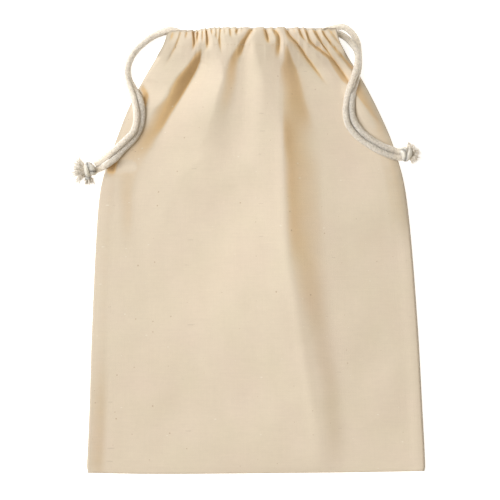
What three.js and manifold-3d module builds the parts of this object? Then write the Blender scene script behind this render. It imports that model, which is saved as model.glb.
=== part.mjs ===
// A drawstring bag of unbleached cotton, lying on its back with its mouth drawn half shut.
// Millimetres, +Z up. +X runs to the right across the bag, and +Y from the bottom fold to the mouth.
// The origin is on the floor, under the middle of the bag.

import * as THREE from "three";
import { mergeVertices } from "three/addons/utils/BufferGeometryUtils.js";
import Module from "manifold-3d";

const wasm = await Module();
wasm.setup();
const { clamp, lerp, degToRad } = THREE.MathUtils;

// Driving dimensions
const BAG_LENGTH = 396; // bottom fold to mouth edge, as it lies
const CLOTH = 1.5; // thickness of the cloth
const SEAM_WIDTH = 9; // strip sewn together along each side
const SLIT_START = 372; // height up the bag where the side seams stop
const BOTTOM_FOLD = 3; // cloth at the bottom fold, before the hollow starts
const EDGE_ROUNDING = 0.8; // how far the outer edges are rounded
const EDGE_ROUNDING_WIDTH = 1.2;

// The hems that the cords run in
const CASING_HEIGHT = 16;
const CASING_THICKNESS = 8.2;
const PLEAT_RISE = 2.4; // gathers standing proud of the front casing
const CORNER_DIP = 4; // how far the front casing droops at the mouth corners
const CORNER_SHARE = 0.2; // the part of the half mouth that droops
const POCKET_LEFT = -57; // the casings' inner layers end here, short of the mouth corners
const POCKET_RIGHT = 60;
const HEM_EASE = 4; // length over which an inner layer starts or ends

// Cords
const CORD_DIAMETER = 5.2;
const CORD_CLEARANCE = 0.35; // kept free round a cord where it meets cloth or knot
const CORD_SIDES = 8;
const STEPS_PER_POINT = 2;

// Knots and their frayed ends
const KNOT_WRAP_RADIUS = 3.7;
const KNOT_WRAP_TILT = 26; // degrees, one wrap each way
const KNOT_CORE_RADIUS = 4.4;
const KNOT_SIDES = 7; // facets round a wrap
const KNOT_STEPS = 12; // and along it
const CORE_FACETS = [8, 6];
const TAIL_START = 1;
const TAIL_LENGTH = 8.5;
const TAIL_LIFT = 0.4; // height of a tail's cut end over the floor
const LOCK_ROOT_DEPTH = 1.6; // how deep a lock of fibres starts inside the cut end
const LOCK_ROOT_SPREAD = 24; // degrees over which the locks of a tail start
const LOCK_ROOT_STEP = 0.7; // locks start at three heights
const LOCK_TIP_LOW = 0.5; // and end at four, from this one up
const LOCK_TIP_STEP = 0.8;
const SHORT_LOCK = 0.86; // every second lock is shorter
const LESSER_LOCK = 0.95; // and two in three a little shorter still
const FRAY_THICKNESS = 1.3; // a lock at its root
const FRAY_TIP = 0.5;
const FRAY_SIDES = 3;

// Sections across the bag: `up` is the height above the bottom fold, `left` and `right` the side
// edges, `leftRim` and `rightRim` the heights of the front there and `crown` its greatest height.
const SECTIONS = [
  { up: 0, left: -150, right: 150, leftRim: 3.0, rightRim: 3.0, crown: 3.0 },
  { up: 6, left: -149.8, right: 149.8, leftRim: 3.0, rightRim: 3.0, crown: 5.4 },
  { up: 22, left: -149, right: 149.2, leftRim: 3.0, rightRim: 3.0, crown: 8.2 },
  { up: 60, left: -147.4, right: 147.2, leftRim: 3.0, rightRim: 3.0, crown: 10.8 },
  { up: 100, left: -146.3, right: 145.1, leftRim: 3.2, rightRim: 3.0, crown: 13.0 },
  { up: 130, left: -145.2, right: 143.3, leftRim: 3.6, rightRim: 3.0, crown: 14.8 },
  { up: 200, left: -142, right: 138, leftRim: 4.6, rightRim: 3.2, crown: 18.0 },
  { up: 246, left: -138.5, right: 133, leftRim: 5.8, rightRim: 3.4, crown: 19.3 },
  { up: 268, left: -133.5, right: 128.5, leftRim: 6.2, rightRim: 3.6, crown: 19.6 },
  { up: 296, left: -123.5, right: 119.5, leftRim: 6.2, rightRim: 3.8, crown: 20.0 },
  { up: 324, left: -112.5, right: 107, leftRim: 6.2, rightRim: 4.0, crown: 20.6 },
  { up: 346, left: -101, right: 95.5, leftRim: 6.4, rightRim: 5.2, crown: 21.2 },
  { up: 362, left: -92.5, right: 86, leftRim: 8.4, rightRim: 8.0, crown: 22.2 },
  { up: 376, left: -86, right: 78, leftRim: 13.5, rightRim: 13.5, crown: 23.8 },
  { up: 386, left: -81.5, right: 73.5, leftRim: 16.5, rightRim: 16.5, crown: 25.0 },
  { up: 396, left: -78.5, right: 71, leftRim: 17.5, rightRim: 17.5, crown: 25.4 },
];

// How far the seam allowance lifts the lower left side
const SEAM_LIFT = [
  { up: 0, lift: 1.4 }, { up: 12, lift: 2.6 }, { up: 53, lift: 2.6 }, { up: 83, lift: 1.7 },
  { up: 118, lift: 0.5 }, { up: 140, lift: 0 }, { up: 396, lift: 0 },
];
const SEAM_LIFT_WIDTH = 15;
const BACK_LIFT_WIDTH = 14; // the back rises with the left side over this width

// The line along which the front lies highest
const CREST = [
  { up: 0, x: 56 }, { up: 47, x: 52 }, { up: 83, x: 46 }, { up: 118, x: 40 }, { up: 153, x: 35 },
  { up: 189, x: 28 }, { up: 242, x: 25 }, { up: 270, x: 24 }, { up: 396, x: 24 },
];
const CREST_BLEND = 8; // half the width over which the two sides meet there

// The left side rises nearly evenly and then faster, and the right side has a rolled edge
const LATE_RISE = 0.38;
const ROLLED_SHARE = 0.27;
const ROLLED_WIDTH = 18;

// The dome near the mouth: share of its height gained close to an edge, and how fast
const SHOULDER_SHARE = 0.32;
const SHOULDER_WIDTH = 13;
const SWELL_WIDTH = 105;

// Folds of the front: `x` is the line of the trough, `depth` how far it sinks, and `left` and
// `right` the widths of its two walls. A ridge has its depth below zero.
const FOLDS = {
  leftFold: {
    leftWall: "steep",
    rightWall: "ramp",
    rows: [
      { up: 190, x: -109, depth: 0, left: 8, right: 14 },
      { up: 215, x: -108.5, depth: 0.9, left: 9, right: 18 },
      { up: 242, x: -107, depth: 1.6, left: 10, right: 26 },
      { up: 260, x: -103.5, depth: 2.2, left: 13, right: 28 },
      { up: 273, x: -98.7, depth: 3.4, left: 17, right: 31 },
      { up: 286, x: -90.8, depth: 4.6, left: 18, right: 33 },
      { up: 304, x: -82.3, depth: 5.6, left: 16, right: 33 },
      { up: 322, x: -71.9, depth: 7.0, left: 15.5, right: 29 },
      { up: 339.4, x: -61.5, depth: 8.8, left: 13.7, right: 24 },
      { up: 348.3, x: -56.6, depth: 10.0, left: 13.2, right: 23 },
      { up: 357, x: -52.2, depth: 8.6, left: 11.6, right: 20 },
      { up: 366, x: -49.1, depth: 6.2, left: 8.8, right: 16 },
      { up: 375, x: -47.6, depth: 4.0, left: 7, right: 11 },
      { up: 390, x: -47, depth: 1.5, left: 5, right: 7 },
    ],
  },
  middleFold: {
    leftWall: "soft",
    rightWall: "ramp",
    rows: [
      { up: 262, x: -21, depth: 0, left: 24, right: 20 },
      { up: 277, x: -19, depth: 0.8, left: 24, right: 20 },
      { up: 313, x: -17.5, depth: 2.3, left: 23, right: 22 },
      { up: 330, x: -15, depth: 3.5, left: 20, right: 22 },
      { up: 348, x: -13.3, depth: 4.2, left: 17, right: 20 },
      { up: 366, x: -12.4, depth: 4.0, left: 12.5, right: 14 },
      { up: 376, x: -9.5, depth: 3.4, left: 9, right: 9 },
      { up: 390, x: -6, depth: 1.0, left: 6, right: 6 },
    ],
  },
  rightFold: {
    leftWall: "step",
    rightWall: "straight",
    rows: [
      { up: 0, x: 80, depth: 0, left: 26, right: 66 },
      { up: 12, x: 79, depth: 1.4, left: 26, right: 66 },
      { up: 47, x: 78, depth: 2.6, left: 26, right: 66 },
      { up: 83, x: 73.5, depth: 3.1, left: 27, right: 68 },
      { up: 118, x: 69.5, depth: 3.6, left: 29, right: 70 },
      { up: 153, x: 69.5, depth: 4.5, left: 34.5, right: 70 },
      { up: 189, x: 63, depth: 4.9, left: 35, right: 74 },
      { up: 242, x: 61, depth: 6.0, left: 36, right: 78 },
      { up: 270, x: 62, depth: 6.3, left: 38, right: 68 },
      { up: 299, x: 55, depth: 6.5, left: 31, right: 58 },
      { up: 313, x: 50.4, depth: 6.4, left: 26.4, right: 50 },
      { up: 330, x: 44.4, depth: 6.1, left: 20, right: 42 },
      { up: 348, x: 39.4, depth: 5.6, left: 15.4, right: 40 },
      { up: 357, x: 36.7, depth: 5.4, left: 12.7, right: 38 },
      { up: 366, x: 32.4, depth: 3.2, left: 7, right: 34 },
      { up: 384, x: 27.5, depth: 0, left: 3, right: 30 },
    ],
  },
  leftEdgeDent: {
    leftWall: "ramp",
    rightWall: "ramp",
    rows: [
      { up: 322, x: -93, depth: 0, left: 4, right: 4 },
      { up: 330, x: -97.5, depth: 1.6, left: 5, right: 4 },
      { up: 338, x: -101.5, depth: 2.0, left: 5, right: 4 },
      { up: 350, x: -103, depth: 0, left: 4, right: 4 },
    ],
  },
  rightEdgeRidge: {
    leftWall: "straight",
    rightWall: "straight",
    rows: [
      { up: 306, x: 112, depth: 0, left: 8, right: 6 },
      { up: 314, x: 106, depth: -1.1, left: 9, right: 8 },
      { up: 324, x: 97.5, depth: -1.7, left: 10, right: 13 },
      { up: 333, x: 89.5, depth: -1.7, left: 10, right: 16 },
      { up: 342, x: 85, depth: -1.0, left: 8, right: 14 },
      { up: 352, x: 80, depth: 0, left: 7, right: 10 },
    ],
  },
};

// Gathers of the mouth: the groove runs from `top` at the mouth edge to `foot`, `run` lower down
const PLEATS = [
  { top: -72.6, foot: -73.6, run: 12, depth: 1.6, width: 3.2 },
  { top: -64.6, foot: -66, run: 13, depth: 1.8, width: 3.4 },
  { top: -58.4, foot: -60, run: 14, depth: 2.0, width: 3.2 },
  { top: -53.1, foot: -51, run: 30, depth: 3.4, width: 3.6 },
  { top: -46, foot: -45, run: 17, depth: 3.2, width: 3.4 },
  { top: -41.6, foot: -41.2, run: 15, depth: 2.4, width: 2.6 },
  { top: -36.8, foot: -36.8, run: 14, depth: 2.2, width: 2.6 },
  { top: -31.8, foot: -31.8, run: 15, depth: 2.4, width: 2.8 },
  { top: -26.8, foot: -27.4, run: 13, depth: 2.0, width: 2.6 },
  { top: -20.8, foot: -21.4, run: 15, depth: 2.6, width: 3.2 },
  { top: -14.8, foot: -16.4, run: 13, depth: 2.2, width: 2.8 },
  { top: -5.3, foot: -12.4, run: 18, depth: 3.4, width: 3.8 },
  { top: 2.4, foot: 3, run: 11, depth: 1.6, width: 3.2 },
  { top: 8.9, foot: 12.4, run: 19, depth: 3.0, width: 3.4 },
  { top: 15, foot: 21.2, run: 36, depth: 3.6, width: 4.0 },
  { top: 26.6, foot: 54.4, run: 42, depth: 3.6, width: 4.4 },
  { top: 33, foot: 37, run: 13, depth: 2.0, width: 3.0 },
  { top: 38.9, foot: 45.6, run: 20, depth: 3.0, width: 3.6 },
  { top: 45, foot: 82.3, run: 47, depth: 3.6, width: 4.4 },
  { top: 51.3, foot: 54.9, run: 14, depth: 2.2, width: 3.0 },
  { top: 57.5, foot: 82.3, run: 35, depth: 3.0, width: 3.8 },
  { top: 64, foot: 72.6, run: 19, depth: 2.2, width: 3.2 },
];
const PLEAT_SPREAD = 0.6; // how much a gather widens towards its foot
const PLEAT_FADE = 0.35; // share of its run before it starts to fade
const PLEAT_SCALLOP = 0.3; // how far a gather pulls the mouth edge down, for its depth

// Each cord is one length, from the knot over the front of the bag, through the front casing,
// round the far mouth corner, back through the back casing and over the bag to the knot again.
// A point is x, height up the bag, and height over the floor.
const LEFT_CORD = [
  [-142.6, 273, 5.4], [-134.6, 278.8, 8.2], [-125.4, 285.6, 12.2], [-115.4, 294.4, 13.8],
  [-107.4, 303.8, 14.9], [-105.1, 315.6, 14.9], [-106.4, 327.6, 14.2], [-110.2, 338.4, 11.2],
  [-113.3, 348.4, 8.9], [-113.7, 359.4, 8.4], [-108.6, 371.8, 8.4], [-98.4, 382.2, 8.8],
  [-87, 389.2, 10.8], [-74.4, 392.6, 12.6], [-62, 387.6, 13.3], [-46, 385.7, 15.8],
  [-15, 385.7, 18.9], [20, 385.7, 17.8], [46, 385.7, 14.8], [58, 385.7, 12.5],
  [64.2, 385.7, 10.2], [64.2, 385.7, 6.2], [57, 385.7, 4.1], [0, 385.7, 3.9],
  [-62, 386.4, 4], [-75, 391.2, 4], [-87.4, 388.4, 3.3], [-98.4, 381.6, 2.9],
  [-108.2, 371.4, 2.9], [-113, 360.4, 2.9], [-112.6, 350, 3.2], [-107.6, 340, 6.8],
  [-102.4, 330.2, 10.8], [-100.6, 319.6, 11.6], [-101.9, 308.2, 11.1], [-107.7, 296.8, 10.3],
  [-117, 287.2, 9.9], [-126.6, 277, 8.9], [-135.6, 271, 5.6], [-140, 267.2, 5.4],
];
const RIGHT_CORD = [
  [129.5, 279.4, 5.4], [122, 280.4, 8.2], [111.8, 284.2, 11], [100, 290.8, 11.7],
  [89, 299, 12], [81.6, 308.8, 12.6], [79.5, 320.6, 13.6], [81, 333.2, 17.4],
  [84.4, 345.2, 16.6], [88, 355, 13], [90, 364.6, 9.4], [89.4, 373.4, 8.7],
  [84.8, 380.6, 9.4], [77.6, 387, 10.8], [66.6, 391.2, 12.6], [54, 391.4, 13.5],
  [30, 391.4, 16.4], [0, 391.4, 18.8], [-28, 391.2, 17.3], [-40, 390.8, 15.9],
  [-47.6, 390.6, 12], [-47.6, 390.6, 6.8], [-40, 390.8, 4.2], [-20, 391.2, 4.1],
  [24, 391.4, 4.1], [58, 391.8, 4.1], [68.6, 394.2, 4.2], [77, 395.4, 4.2],
  [84.6, 390.2, 3.6], [89.4, 382.4, 3], [91, 371.4, 2.9], [91.2, 361, 4.2],
  [88.8, 348.8, 10.4], [85.8, 336.6, 14.6], [85.4, 325, 13.8], [86.6, 314.4, 12.8],
  [93.9, 302.9, 12], [103.2, 295.3, 11.5], [113.8, 289.1, 10], [124.2, 285.5, 6.9],
  [130.8, 285, 5.4],
];

// The middle of each casing's channel, between the two cords that share it
const FRONT_CHANNEL = [
  [-58, 388.5, 13.8], [-46, 388.5, 15.5], [-15, 388.5, 18.6], [20, 388.5, 17.7],
  [46, 388.5, 14.7], [62, 388.5, 12.2],
];
const BACK_CHANNEL = [[-58, 388.5, 4.1], [0, 388.5, 4.1], [62, 388.5, 4.1]];

// A knot's place, and its frayed tails: each tail's direction seen from above, in degrees from +X,
// the spread of its locks and how far they reach from the middle of the knot.
const LEFT_KNOT = {
  x: -145.2,
  up: 269.2,
  heading: 205,
  tails: [
    { turn: 176, spread: 62, reach: 16, locks: 11 },
    { turn: 246, spread: 34, reach: 14, locks: 6 },
  ],
};
const RIGHT_KNOT = {
  x: 133.4,
  up: 282.6,
  heading: -10,
  tails: [
    { turn: 34, spread: 64, reach: 12.5, locks: 9 },
    { turn: -30, spread: 64, reach: 12.5, locks: 9 },
  ],
};

// Rows and columns of the cloth
const OUTER_UPS = [
  0, 1.2, 6, 18, 44, 84, 130, 174, 212, 244, 268, 289, 306, 321, 334, 345, 355, 364, 374, 380,
  382.6, 386.4, 390.6, 394.2, 396,
];
const RIM_STEPS = [0, EDGE_ROUNDING_WIDTH, 4, SEAM_WIDTH, 14]; // in from a side edge
const SEAM_STEPS = [SEAM_WIDTH, 10, 11, 12.5, 14]; // the same columns inside a side seam
const SLIT_STEPS = [-6, 0, 4, SEAM_WIDTH, 14]; // and where the side is open
const MIDDLE_CELLS = 54;
const LOWER_STRIDE = 3; // the plain lower faces have every third column
const PAST_EDGE = 6; // how far the hollow runs out past the mouth and the side slits
const LEAST_HEIGHT = 2 * CLOTH + 0.8; // the front never sinks lower than this over the back

// Small tools for tables and easing

function smooth(share) {
  const t = clamp(share, 0, 1);
  return t * t * (3 - 2 * t);
}

// A smooth curve through one column of a table whose rows rise in `up`
function column(rows, name) {
  const ups = rows.map((row) => row.up);
  const values = rows.map((row) => row[name]);
  const last = rows.length - 1;
  const slopes = values.map((value, i) => {
    const before = Math.max(i - 1, 0);
    const after = Math.min(i + 1, last);
    return (values[after] - values[before]) / (ups[after] - ups[before]);
  });
  return (up) => {
    const within = clamp(up, ups[0], ups[last]);
    let i = 0;
    while (i < last - 1 && within > ups[i + 1]) i += 1;
    const span = ups[i + 1] - ups[i];
    const t = (within - ups[i]) / span;
    const rest = 1 - t;
    return (
      values[i] * rest * rest * (1 + 2 * t) +
      values[i + 1] * t * t * (3 - 2 * t) +
      slopes[i] * span * t * rest * rest -
      slopes[i + 1] * span * t * t * rest
    );
  };
}

// The form of a fold's wall, from 0 at its crest to 1 at the trough. A step is straight near the
// mouth, falls at once half way down and is soft low down.
const softWall = (share) => Math.sin((share * Math.PI) / 2) ** 2;
const WALLS = {
  soft: softWall,
  ramp: (share) => share ** 1.2,
  steep: (share) => share ** 1.5,
  straight: (share) => share,
  step: (share, up) => {
    const upper = lerp(1 - (1 - share) ** 2, share, smooth((up - 300) / 30));
    return lerp(softWall(share), upper, smooth((up - 185) / 50));
  },
};
const gatherWall = (share) => 1 - Math.cos((share * Math.PI) / 2);

// The front and back faces of the cloth, as heights over the floor

const leftEdge = column(SECTIONS, "left");
const rightEdge = column(SECTIONS, "right");
const leftRim = column(SECTIONS, "leftRim");
const rightRim = column(SECTIONS, "rightRim");
const seamLift = column(SEAM_LIFT, "lift");
const crestLine = column(CREST, "x");
const crownHeight = column(SECTIONS, "crown");
const STITCH_LINE = BAG_LENGTH - CASING_HEIGHT;
const CASING_MIDDLE = BAG_LENGTH - CASING_HEIGHT / 2;

const folds = Object.values(FOLDS).map(({ leftWall, rightWall, rows }) => ({
  leftWall: WALLS[leftWall],
  rightWall: WALLS[rightWall],
  lowest: rows[0].up,
  highest: rows.at(-1).up,
  x: column(rows, "x"),
  depth: column(rows, "depth"),
  left: column(rows, "left"),
  right: column(rows, "right"),
}));

function foldDepth(fold, x, up) {
  if (up < fold.lowest || up > fold.highest) return 0;
  const lean = (fold.x(up + 1) - fold.x(up - 1)) / 2;
  const away = (x - fold.x(up)) / Math.hypot(1, lean);
  const width = away < 0 ? fold.left(up) : fold.right(up);
  const wall = away < 0 ? fold.leftWall : fold.rightWall;
  const share = 1 - Math.abs(away) / width;
  return share > 0 ? fold.depth(up) * wall(share, up) : 0;
}

function pleatDepth(x, up) {
  let depth = 0;
  for (const pleat of PLEATS) {
    const along = clamp((BAG_LENGTH - up) / pleat.run, 0, 1);
    const lean = (pleat.foot - pleat.top) / pleat.run;
    const away = Math.abs(x - lerp(pleat.top, pleat.foot, along)) / Math.hypot(1, lean);
    const share = 1 - away / (pleat.width * (1 + PLEAT_SPREAD * along));
    const fade = 1 - smooth((along - PLEAT_FADE) / (1 - PLEAT_FADE));
    if (share > 0) depth = Math.max(depth, pleat.depth * fade * gatherWall(share));
  }
  return depth;
}

// 0 below the casing's stitch line, 1 where the hem is two layers deep
function casingShare(up) {
  return smooth((up - STITCH_LINE) / HEM_EASE);
}

// The round section of a casing: 0 at its edges and 1 at its middle
function casingBulge(up) {
  const away = Math.min(Math.abs(up - CASING_MIDDLE) / (CASING_HEIGHT / 2), 1);
  return Math.cbrt(1 - away ** 3);
}

// 1 where the casings have an inner layer, 0 in the open pockets at the mouth corners
function innerLayer(x) {
  const left = smooth((x - POCKET_LEFT) / HEM_EASE);
  const right = smooth((POCKET_RIGHT - x) / HEM_EASE);
  return Math.min(left, right);
}

function frontBase(x, up) {
  const left = leftEdge(up);
  const right = rightEdge(up);
  const crest = crestLine(up);
  const crown = crownHeight(up);
  const inFromEdge = clamp(Math.min(x - left, right - x), 0, right - left);
  const shoulder = 1 - Math.exp(-inFromEdge / SHOULDER_WIDTH);
  const swell = smooth(inFromEdge / Math.min(SWELL_WIDTH, (right - left) / 2));
  const dome = SHOULDER_SHARE * shoulder + (1 - SHOULDER_SHARE) * swell;

  const fromLeft = clamp((x - left) / (crest - left), 0, 1);
  const leftSlope = lerp(fromLeft, fromLeft ** 4, LATE_RISE);
  const leftShare = lerp(leftSlope, dome, smooth((up - 285) / 55));

  const fromRight = clamp((right - x) / (right - crest), 0, 1);
  const rolled = 1 - (1 - Math.min(inFromEdge / ROLLED_WIDTH, 1)) ** 2;
  const rolledShare = ROLLED_SHARE * smooth((up - 190) / 50) * smooth((360 - up) / 30);
  const rightSlope = lerp(fromRight, rolled, rolledShare);
  const rightShare = lerp(rightSlope, dome, smooth((up - 330) / 36));

  const past = smooth((x - crest + CREST_BLEND) / (2 * CREST_BLEND));
  const onLeft = lerp(leftRim(up), crown, leftShare);
  const onRight = lerp(rightRim(up), crown, rightShare);
  const lift = seamLift(up) * clamp(1 - (x - left) / SEAM_LIFT_WIDTH, 0, 1);
  return lerp(onLeft, onRight, past) + lift;
}

// The back rises with the left side, which lies a little off the floor
function backLift(x, up) {
  const away = clamp((x - leftEdge(up)) / BACK_LIFT_WIDTH, 0, 1);
  const height = leftRim(up) + seamLift(up) - 2 * CLOTH;
  return height * (1 - away) ** 2 * smooth((345 - up) / 40);
}

// Folds sink the sheet below the casing, and gathers groove both it and the casing
function frontOutside(x, up) {
  const inCasing = casingShare(up);
  const bulge = casingBulge(up);
  const sunk = folds.reduce((sum, fold) => sum + foldDepth(fold, x, up), 0) * (1 - inCasing);
  const base = frontBase(x, up);
  const sheet = Math.max(base - sunk, Math.min(base, LEAST_HEIGHT));
  const curl = up > CASING_MIDDLE ? (1 - bulge) * innerLayer(x) : 0;
  const pleats = pleatDepth(x, up);
  const shallow = Math.min(pleats, PLEAT_RISE * bulge);
  return sheet - curl * (PLEAT_RISE + CASING_THICKNESS / 2) - lerp(pleats, shallow, inCasing);
}

function frontInside(x, up) {
  const inCasing = casingShare(up) * innerLayer(x);
  const bulge = casingBulge(up);
  const pleats = Math.min(pleatDepth(x, up), PLEAT_RISE * bulge);
  const layers = (CASING_THICKNESS - CLOTH + PLEAT_RISE) * bulge - pleats;
  return frontOutside(x, up) - CLOTH - layers * inCasing;
}

function backOutside(x, up) {
  const curl = up > CASING_MIDDLE ? (1 - casingBulge(up)) * innerLayer(x) : 0;
  return ((CASING_THICKNESS - CLOTH) / 2) * curl + backLift(x, up);
}

function backInside(x, up) {
  const layers = (CASING_THICKNESS - CLOTH) * casingBulge(up) * casingShare(up);
  return backOutside(x, up) + CLOTH + layers * innerLayer(x);
}

// How far the front's mouth edge hangs below the back's, at the corners and between gathers
function mouthDip(x, up) {
  const half = (rightEdge(up) - leftEdge(up)) / 2;
  const middle = (rightEdge(up) + leftEdge(up)) / 2;
  const fromCorner = 1 - Math.abs(x - middle) / half;
  const corner = CORNER_DIP * (1 - smooth(fromCorner / CORNER_SHARE));
  const scallop = PLEAT_SCALLOP * pleatDepth(x, BAG_LENGTH);
  return (corner + scallop) * smooth((up - STITCH_LINE + CASING_HEIGHT) / (2 * CASING_HEIGHT));
}

// Closed solids

function place(x, up, z) {
  return [x, up - BAG_LENGTH / 2, z];
}

// A closed solid between an upper and a lower face: `across` gives the columns of a row, and the
// lower face skips some of them.
function slab(ups, across, upper, lower) {
  const rows = ups.map((up) => across(up));
  const count = rows[0].length;
  const all = Array.from({ length: count }, (_, j) => j);
  const few = all.filter((j) => j % LOWER_STRIDE === 0 || j === count - 1);
  const points = [];
  const triangles = [];
  const grid = (face, columns) =>
    ups.map((up, i) => columns.map((j) => points.push(face(rows[i][j], up, i, j)) - 1));
  const top = grid(upper, all);
  const bottom = grid(lower, few);

  // Fills the strip between two lines of points, `near` seen below `far` from outside
  const strip = (near, far) => {
    let n = 0;
    let f = 0;
    while (n < near.length - 1 || f < far.length - 1) {
      const nearNext = (n + 1) * (far.length - 1);
      const farNext = (f + 1) * (near.length - 1);
      if (f === far.length - 1 || (n < near.length - 1 && nearNext <= farNext)) {
        triangles.push(near[n], near[n + 1], far[f]);
        n += 1;
      } else {
        triangles.push(near[n], far[f + 1], far[f]);
        f += 1;
      }
    }
  };
  const last = ups.length - 1;
  for (let i = 0; i < last; i += 1) {
    strip(top[i], top[i + 1]);
    strip(bottom[i + 1], bottom[i]);
  }
  strip(bottom[0], top[0]);
  strip(bottom[last].toReversed(), top[last].toReversed());
  const side = (lines, j) => lines.map((line) => line.at(j));
  strip(side(bottom, -1), side(top, -1));
  strip(side(bottom, 0).toReversed(), side(top, 0).toReversed());

  const geometry = new THREE.BufferGeometry();
  geometry.setAttribute("position", new THREE.Float32BufferAttribute(points.flat(), 3));
  geometry.setIndex(triangles);
  return geometry;
}

function solid(geometry) {
  const bare = geometry.clone();
  bare.deleteAttribute("normal");
  bare.deleteAttribute("uv");
  const merged = mergeVertices(bare, 1e-4);
  return new wasm.Manifold(
    new wasm.Mesh({
      numProp: 3,
      vertProperties: new Float32Array(merged.attributes.position.array),
      triVerts: new Uint32Array(merged.index.array),
    }),
  );
}

function geometryOf(body) {
  const mesh = body.getMesh();
  const geometry = new THREE.BufferGeometry();
  geometry.setAttribute("position", new THREE.BufferAttribute(mesh.vertProperties, 3));
  geometry.setIndex(new THREE.BufferAttribute(mesh.triVerts, 1));
  geometry.computeVertexNormals();
  return geometry;
}

// A row's columns: close ones in from each side edge, even ones between
function columnsAt(up, steps) {
  const left = leftEdge(up);
  const right = rightEdge(up);
  const inset = steps.at(-1);
  const columns = steps.map((step) => left + step);
  for (let k = 1; k < MIDDLE_CELLS; k += 1) {
    columns.push(lerp(left + inset, right - inset, k / MIDDLE_CELLS));
  }
  return columns.concat(steps.map((step) => right - step).reverse());
}

function outerForm() {
  const lastColumn = 2 * RIM_STEPS.length + MIDDLE_CELLS - 2;
  const rounding = (i, j) => (i === 0 || j === 0 || j === lastColumn ? EDGE_ROUNDING : 0);
  const upper = (x, up, i, j) =>
    place(x, up - mouthDip(x, up), frontOutside(x, up) - rounding(i, j));
  const lower = (x, up, i, j) => place(x, up, backOutside(x, up) + rounding(i, j));
  return slab(OUTER_UPS, (up) => columnsAt(up, RIM_STEPS), upper, lower);
}

// The hollow inside: between the side seams, then out through the side slits and the mouth
function hollowForm() {
  const inside = OUTER_UPS.filter((up) => up > BOTTOM_FOLD && up < SLIT_START);
  const open = OUTER_UPS.filter((up) => up > SLIT_START);
  const ups = [BOTTOM_FOLD, ...inside, SLIT_START, ...open, BAG_LENGTH + PAST_EDGE];
  const columns = (up) => columnsAt(up, up <= SLIT_START ? SEAM_STEPS : SLIT_STEPS);
  const within = (x, up) => clamp(x, leftEdge(up), rightEdge(up));
  const upper = (x, up) => place(x, up - mouthDip(x, up), frontInside(within(x, up), up));
  const lower = (x, up) => place(x, up, backInside(within(x, up), up));
  return slab(ups, columns, upper, lower);
}

// Cords

// Steps fall evenly between the points of the route, so a tight turn has short steps
class CordCurve extends THREE.CatmullRomCurve3 {
  getUtoTmapping(share) {
    return share;
  }
}

function cordTube(route, radius, extension = 0) {
  const points = route.map(([x, up, z]) => new THREE.Vector3(...place(x, up, z)));
  const lengthen = (end, next) => {
    const outward = end.clone().sub(next).setLength(extension);
    end.add(outward);
  };
  lengthen(points[0], points[1]);
  lengthen(points.at(-1), points.at(-2));
  const section = new THREE.Shape(
    new THREE.EllipseCurve(0, 0, radius, radius).getPoints(CORD_SIDES).slice(0, -1),
  );
  return new THREE.ExtrudeGeometry(section, {
    steps: STEPS_PER_POINT * (points.length - 1),
    extrudePath: new CordCurve(points),
    bevelEnabled: false,
  });
}

// Knots

// A closed bar of a few sides from one point to another
function bar(start, end, startRadius, endRadius, sides) {
  const along = end.clone().sub(start);
  const geometry = new THREE.CylinderGeometry(endRadius, startRadius, along.length(), sides);
  const turn = new THREE.Quaternion().setFromUnitVectors(
    new THREE.Vector3(0, 1, 0),
    along.clone().normalize(),
  );
  geometry.applyQuaternion(turn);
  const middle = start.clone().add(end).multiplyScalar(0.5);
  return geometry.translate(middle.x, middle.y, middle.z);
}

function knot({ x, up, heading, tails }) {
  const radius = CORD_DIAMETER / 2;
  const height = KNOT_WRAP_RADIUS + radius;
  const core = new THREE.SphereGeometry(KNOT_CORE_RADIUS, ...CORE_FACETS).rotateX(Math.PI / 2);
  const pieces = [core];
  for (const tilt of [KNOT_WRAP_TILT, -KNOT_WRAP_TILT]) {
    const wrap = new THREE.TorusGeometry(KNOT_WRAP_RADIUS, radius, KNOT_SIDES, KNOT_STEPS);
    wrap.rotateY(Math.PI / 2);
    wrap.rotateZ(degToRad(heading + tilt));
    pieces.push(wrap);
  }
  for (const tail of tails) {
    const flat = (degrees, reach, z) => {
      const angle = degToRad(degrees);
      return new THREE.Vector3(reach * Math.cos(angle), reach * Math.sin(angle), z - height);
    };
    const tailEnd = flat(tail.turn, TAIL_LENGTH, radius + TAIL_LIFT);
    const tailStart = flat(tail.turn, TAIL_START, height);
    pieces.push(bar(tailStart, tailEnd, radius, radius, CORD_SIDES));
    for (let k = 0; k < tail.locks; k += 1) {
      const share = k / (tail.locks - 1) - 0.5;
      const reach = tail.reach * (k % 2 ? SHORT_LOCK : 1) * (k % 3 ? LESSER_LOCK : 1);
      const rootHeight = radius + (k % 3) * LOCK_ROOT_STEP;
      const tipHeight = LOCK_TIP_LOW + (k % 4) * LOCK_TIP_STEP;
      const rootTurn = tail.turn + share * LOCK_ROOT_SPREAD;
      const root = flat(rootTurn, TAIL_LENGTH - LOCK_ROOT_DEPTH, rootHeight);
      const tip = flat(tail.turn + share * tail.spread, reach, tipHeight);
      pieces.push(bar(root, tip, FRAY_THICKNESS / 2, FRAY_TIP / 2, FRAY_SIDES));
    }
  }
  const body = pieces.map(solid).reduce((whole, piece) => whole.add(piece));
  return body.translate(place(x, up, height));
}

// The parts

const bag = new THREE.Group();

function addPart(name, geometry, colour, roughness) {
  const material = new THREE.MeshStandardMaterial({ color: colour, roughness, metalness: 0 });
  const mesh = new THREE.Mesh(geometry, material);
  mesh.name = name;
  bag.add(mesh);
}

const CLOTH_COLOUR = 0xe6d3b9;
const CORD_COLOUR = 0xd9cfbd;
const cordRadius = CORD_DIAMETER / 2;
const roomFor = (route) => solid(cordTube(route, cordRadius + CORD_CLEARANCE, CORD_CLEARANCE));
const leftRoom = roomFor(LEFT_CORD);
const rightRoom = roomFor(RIGHT_CORD);

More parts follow.
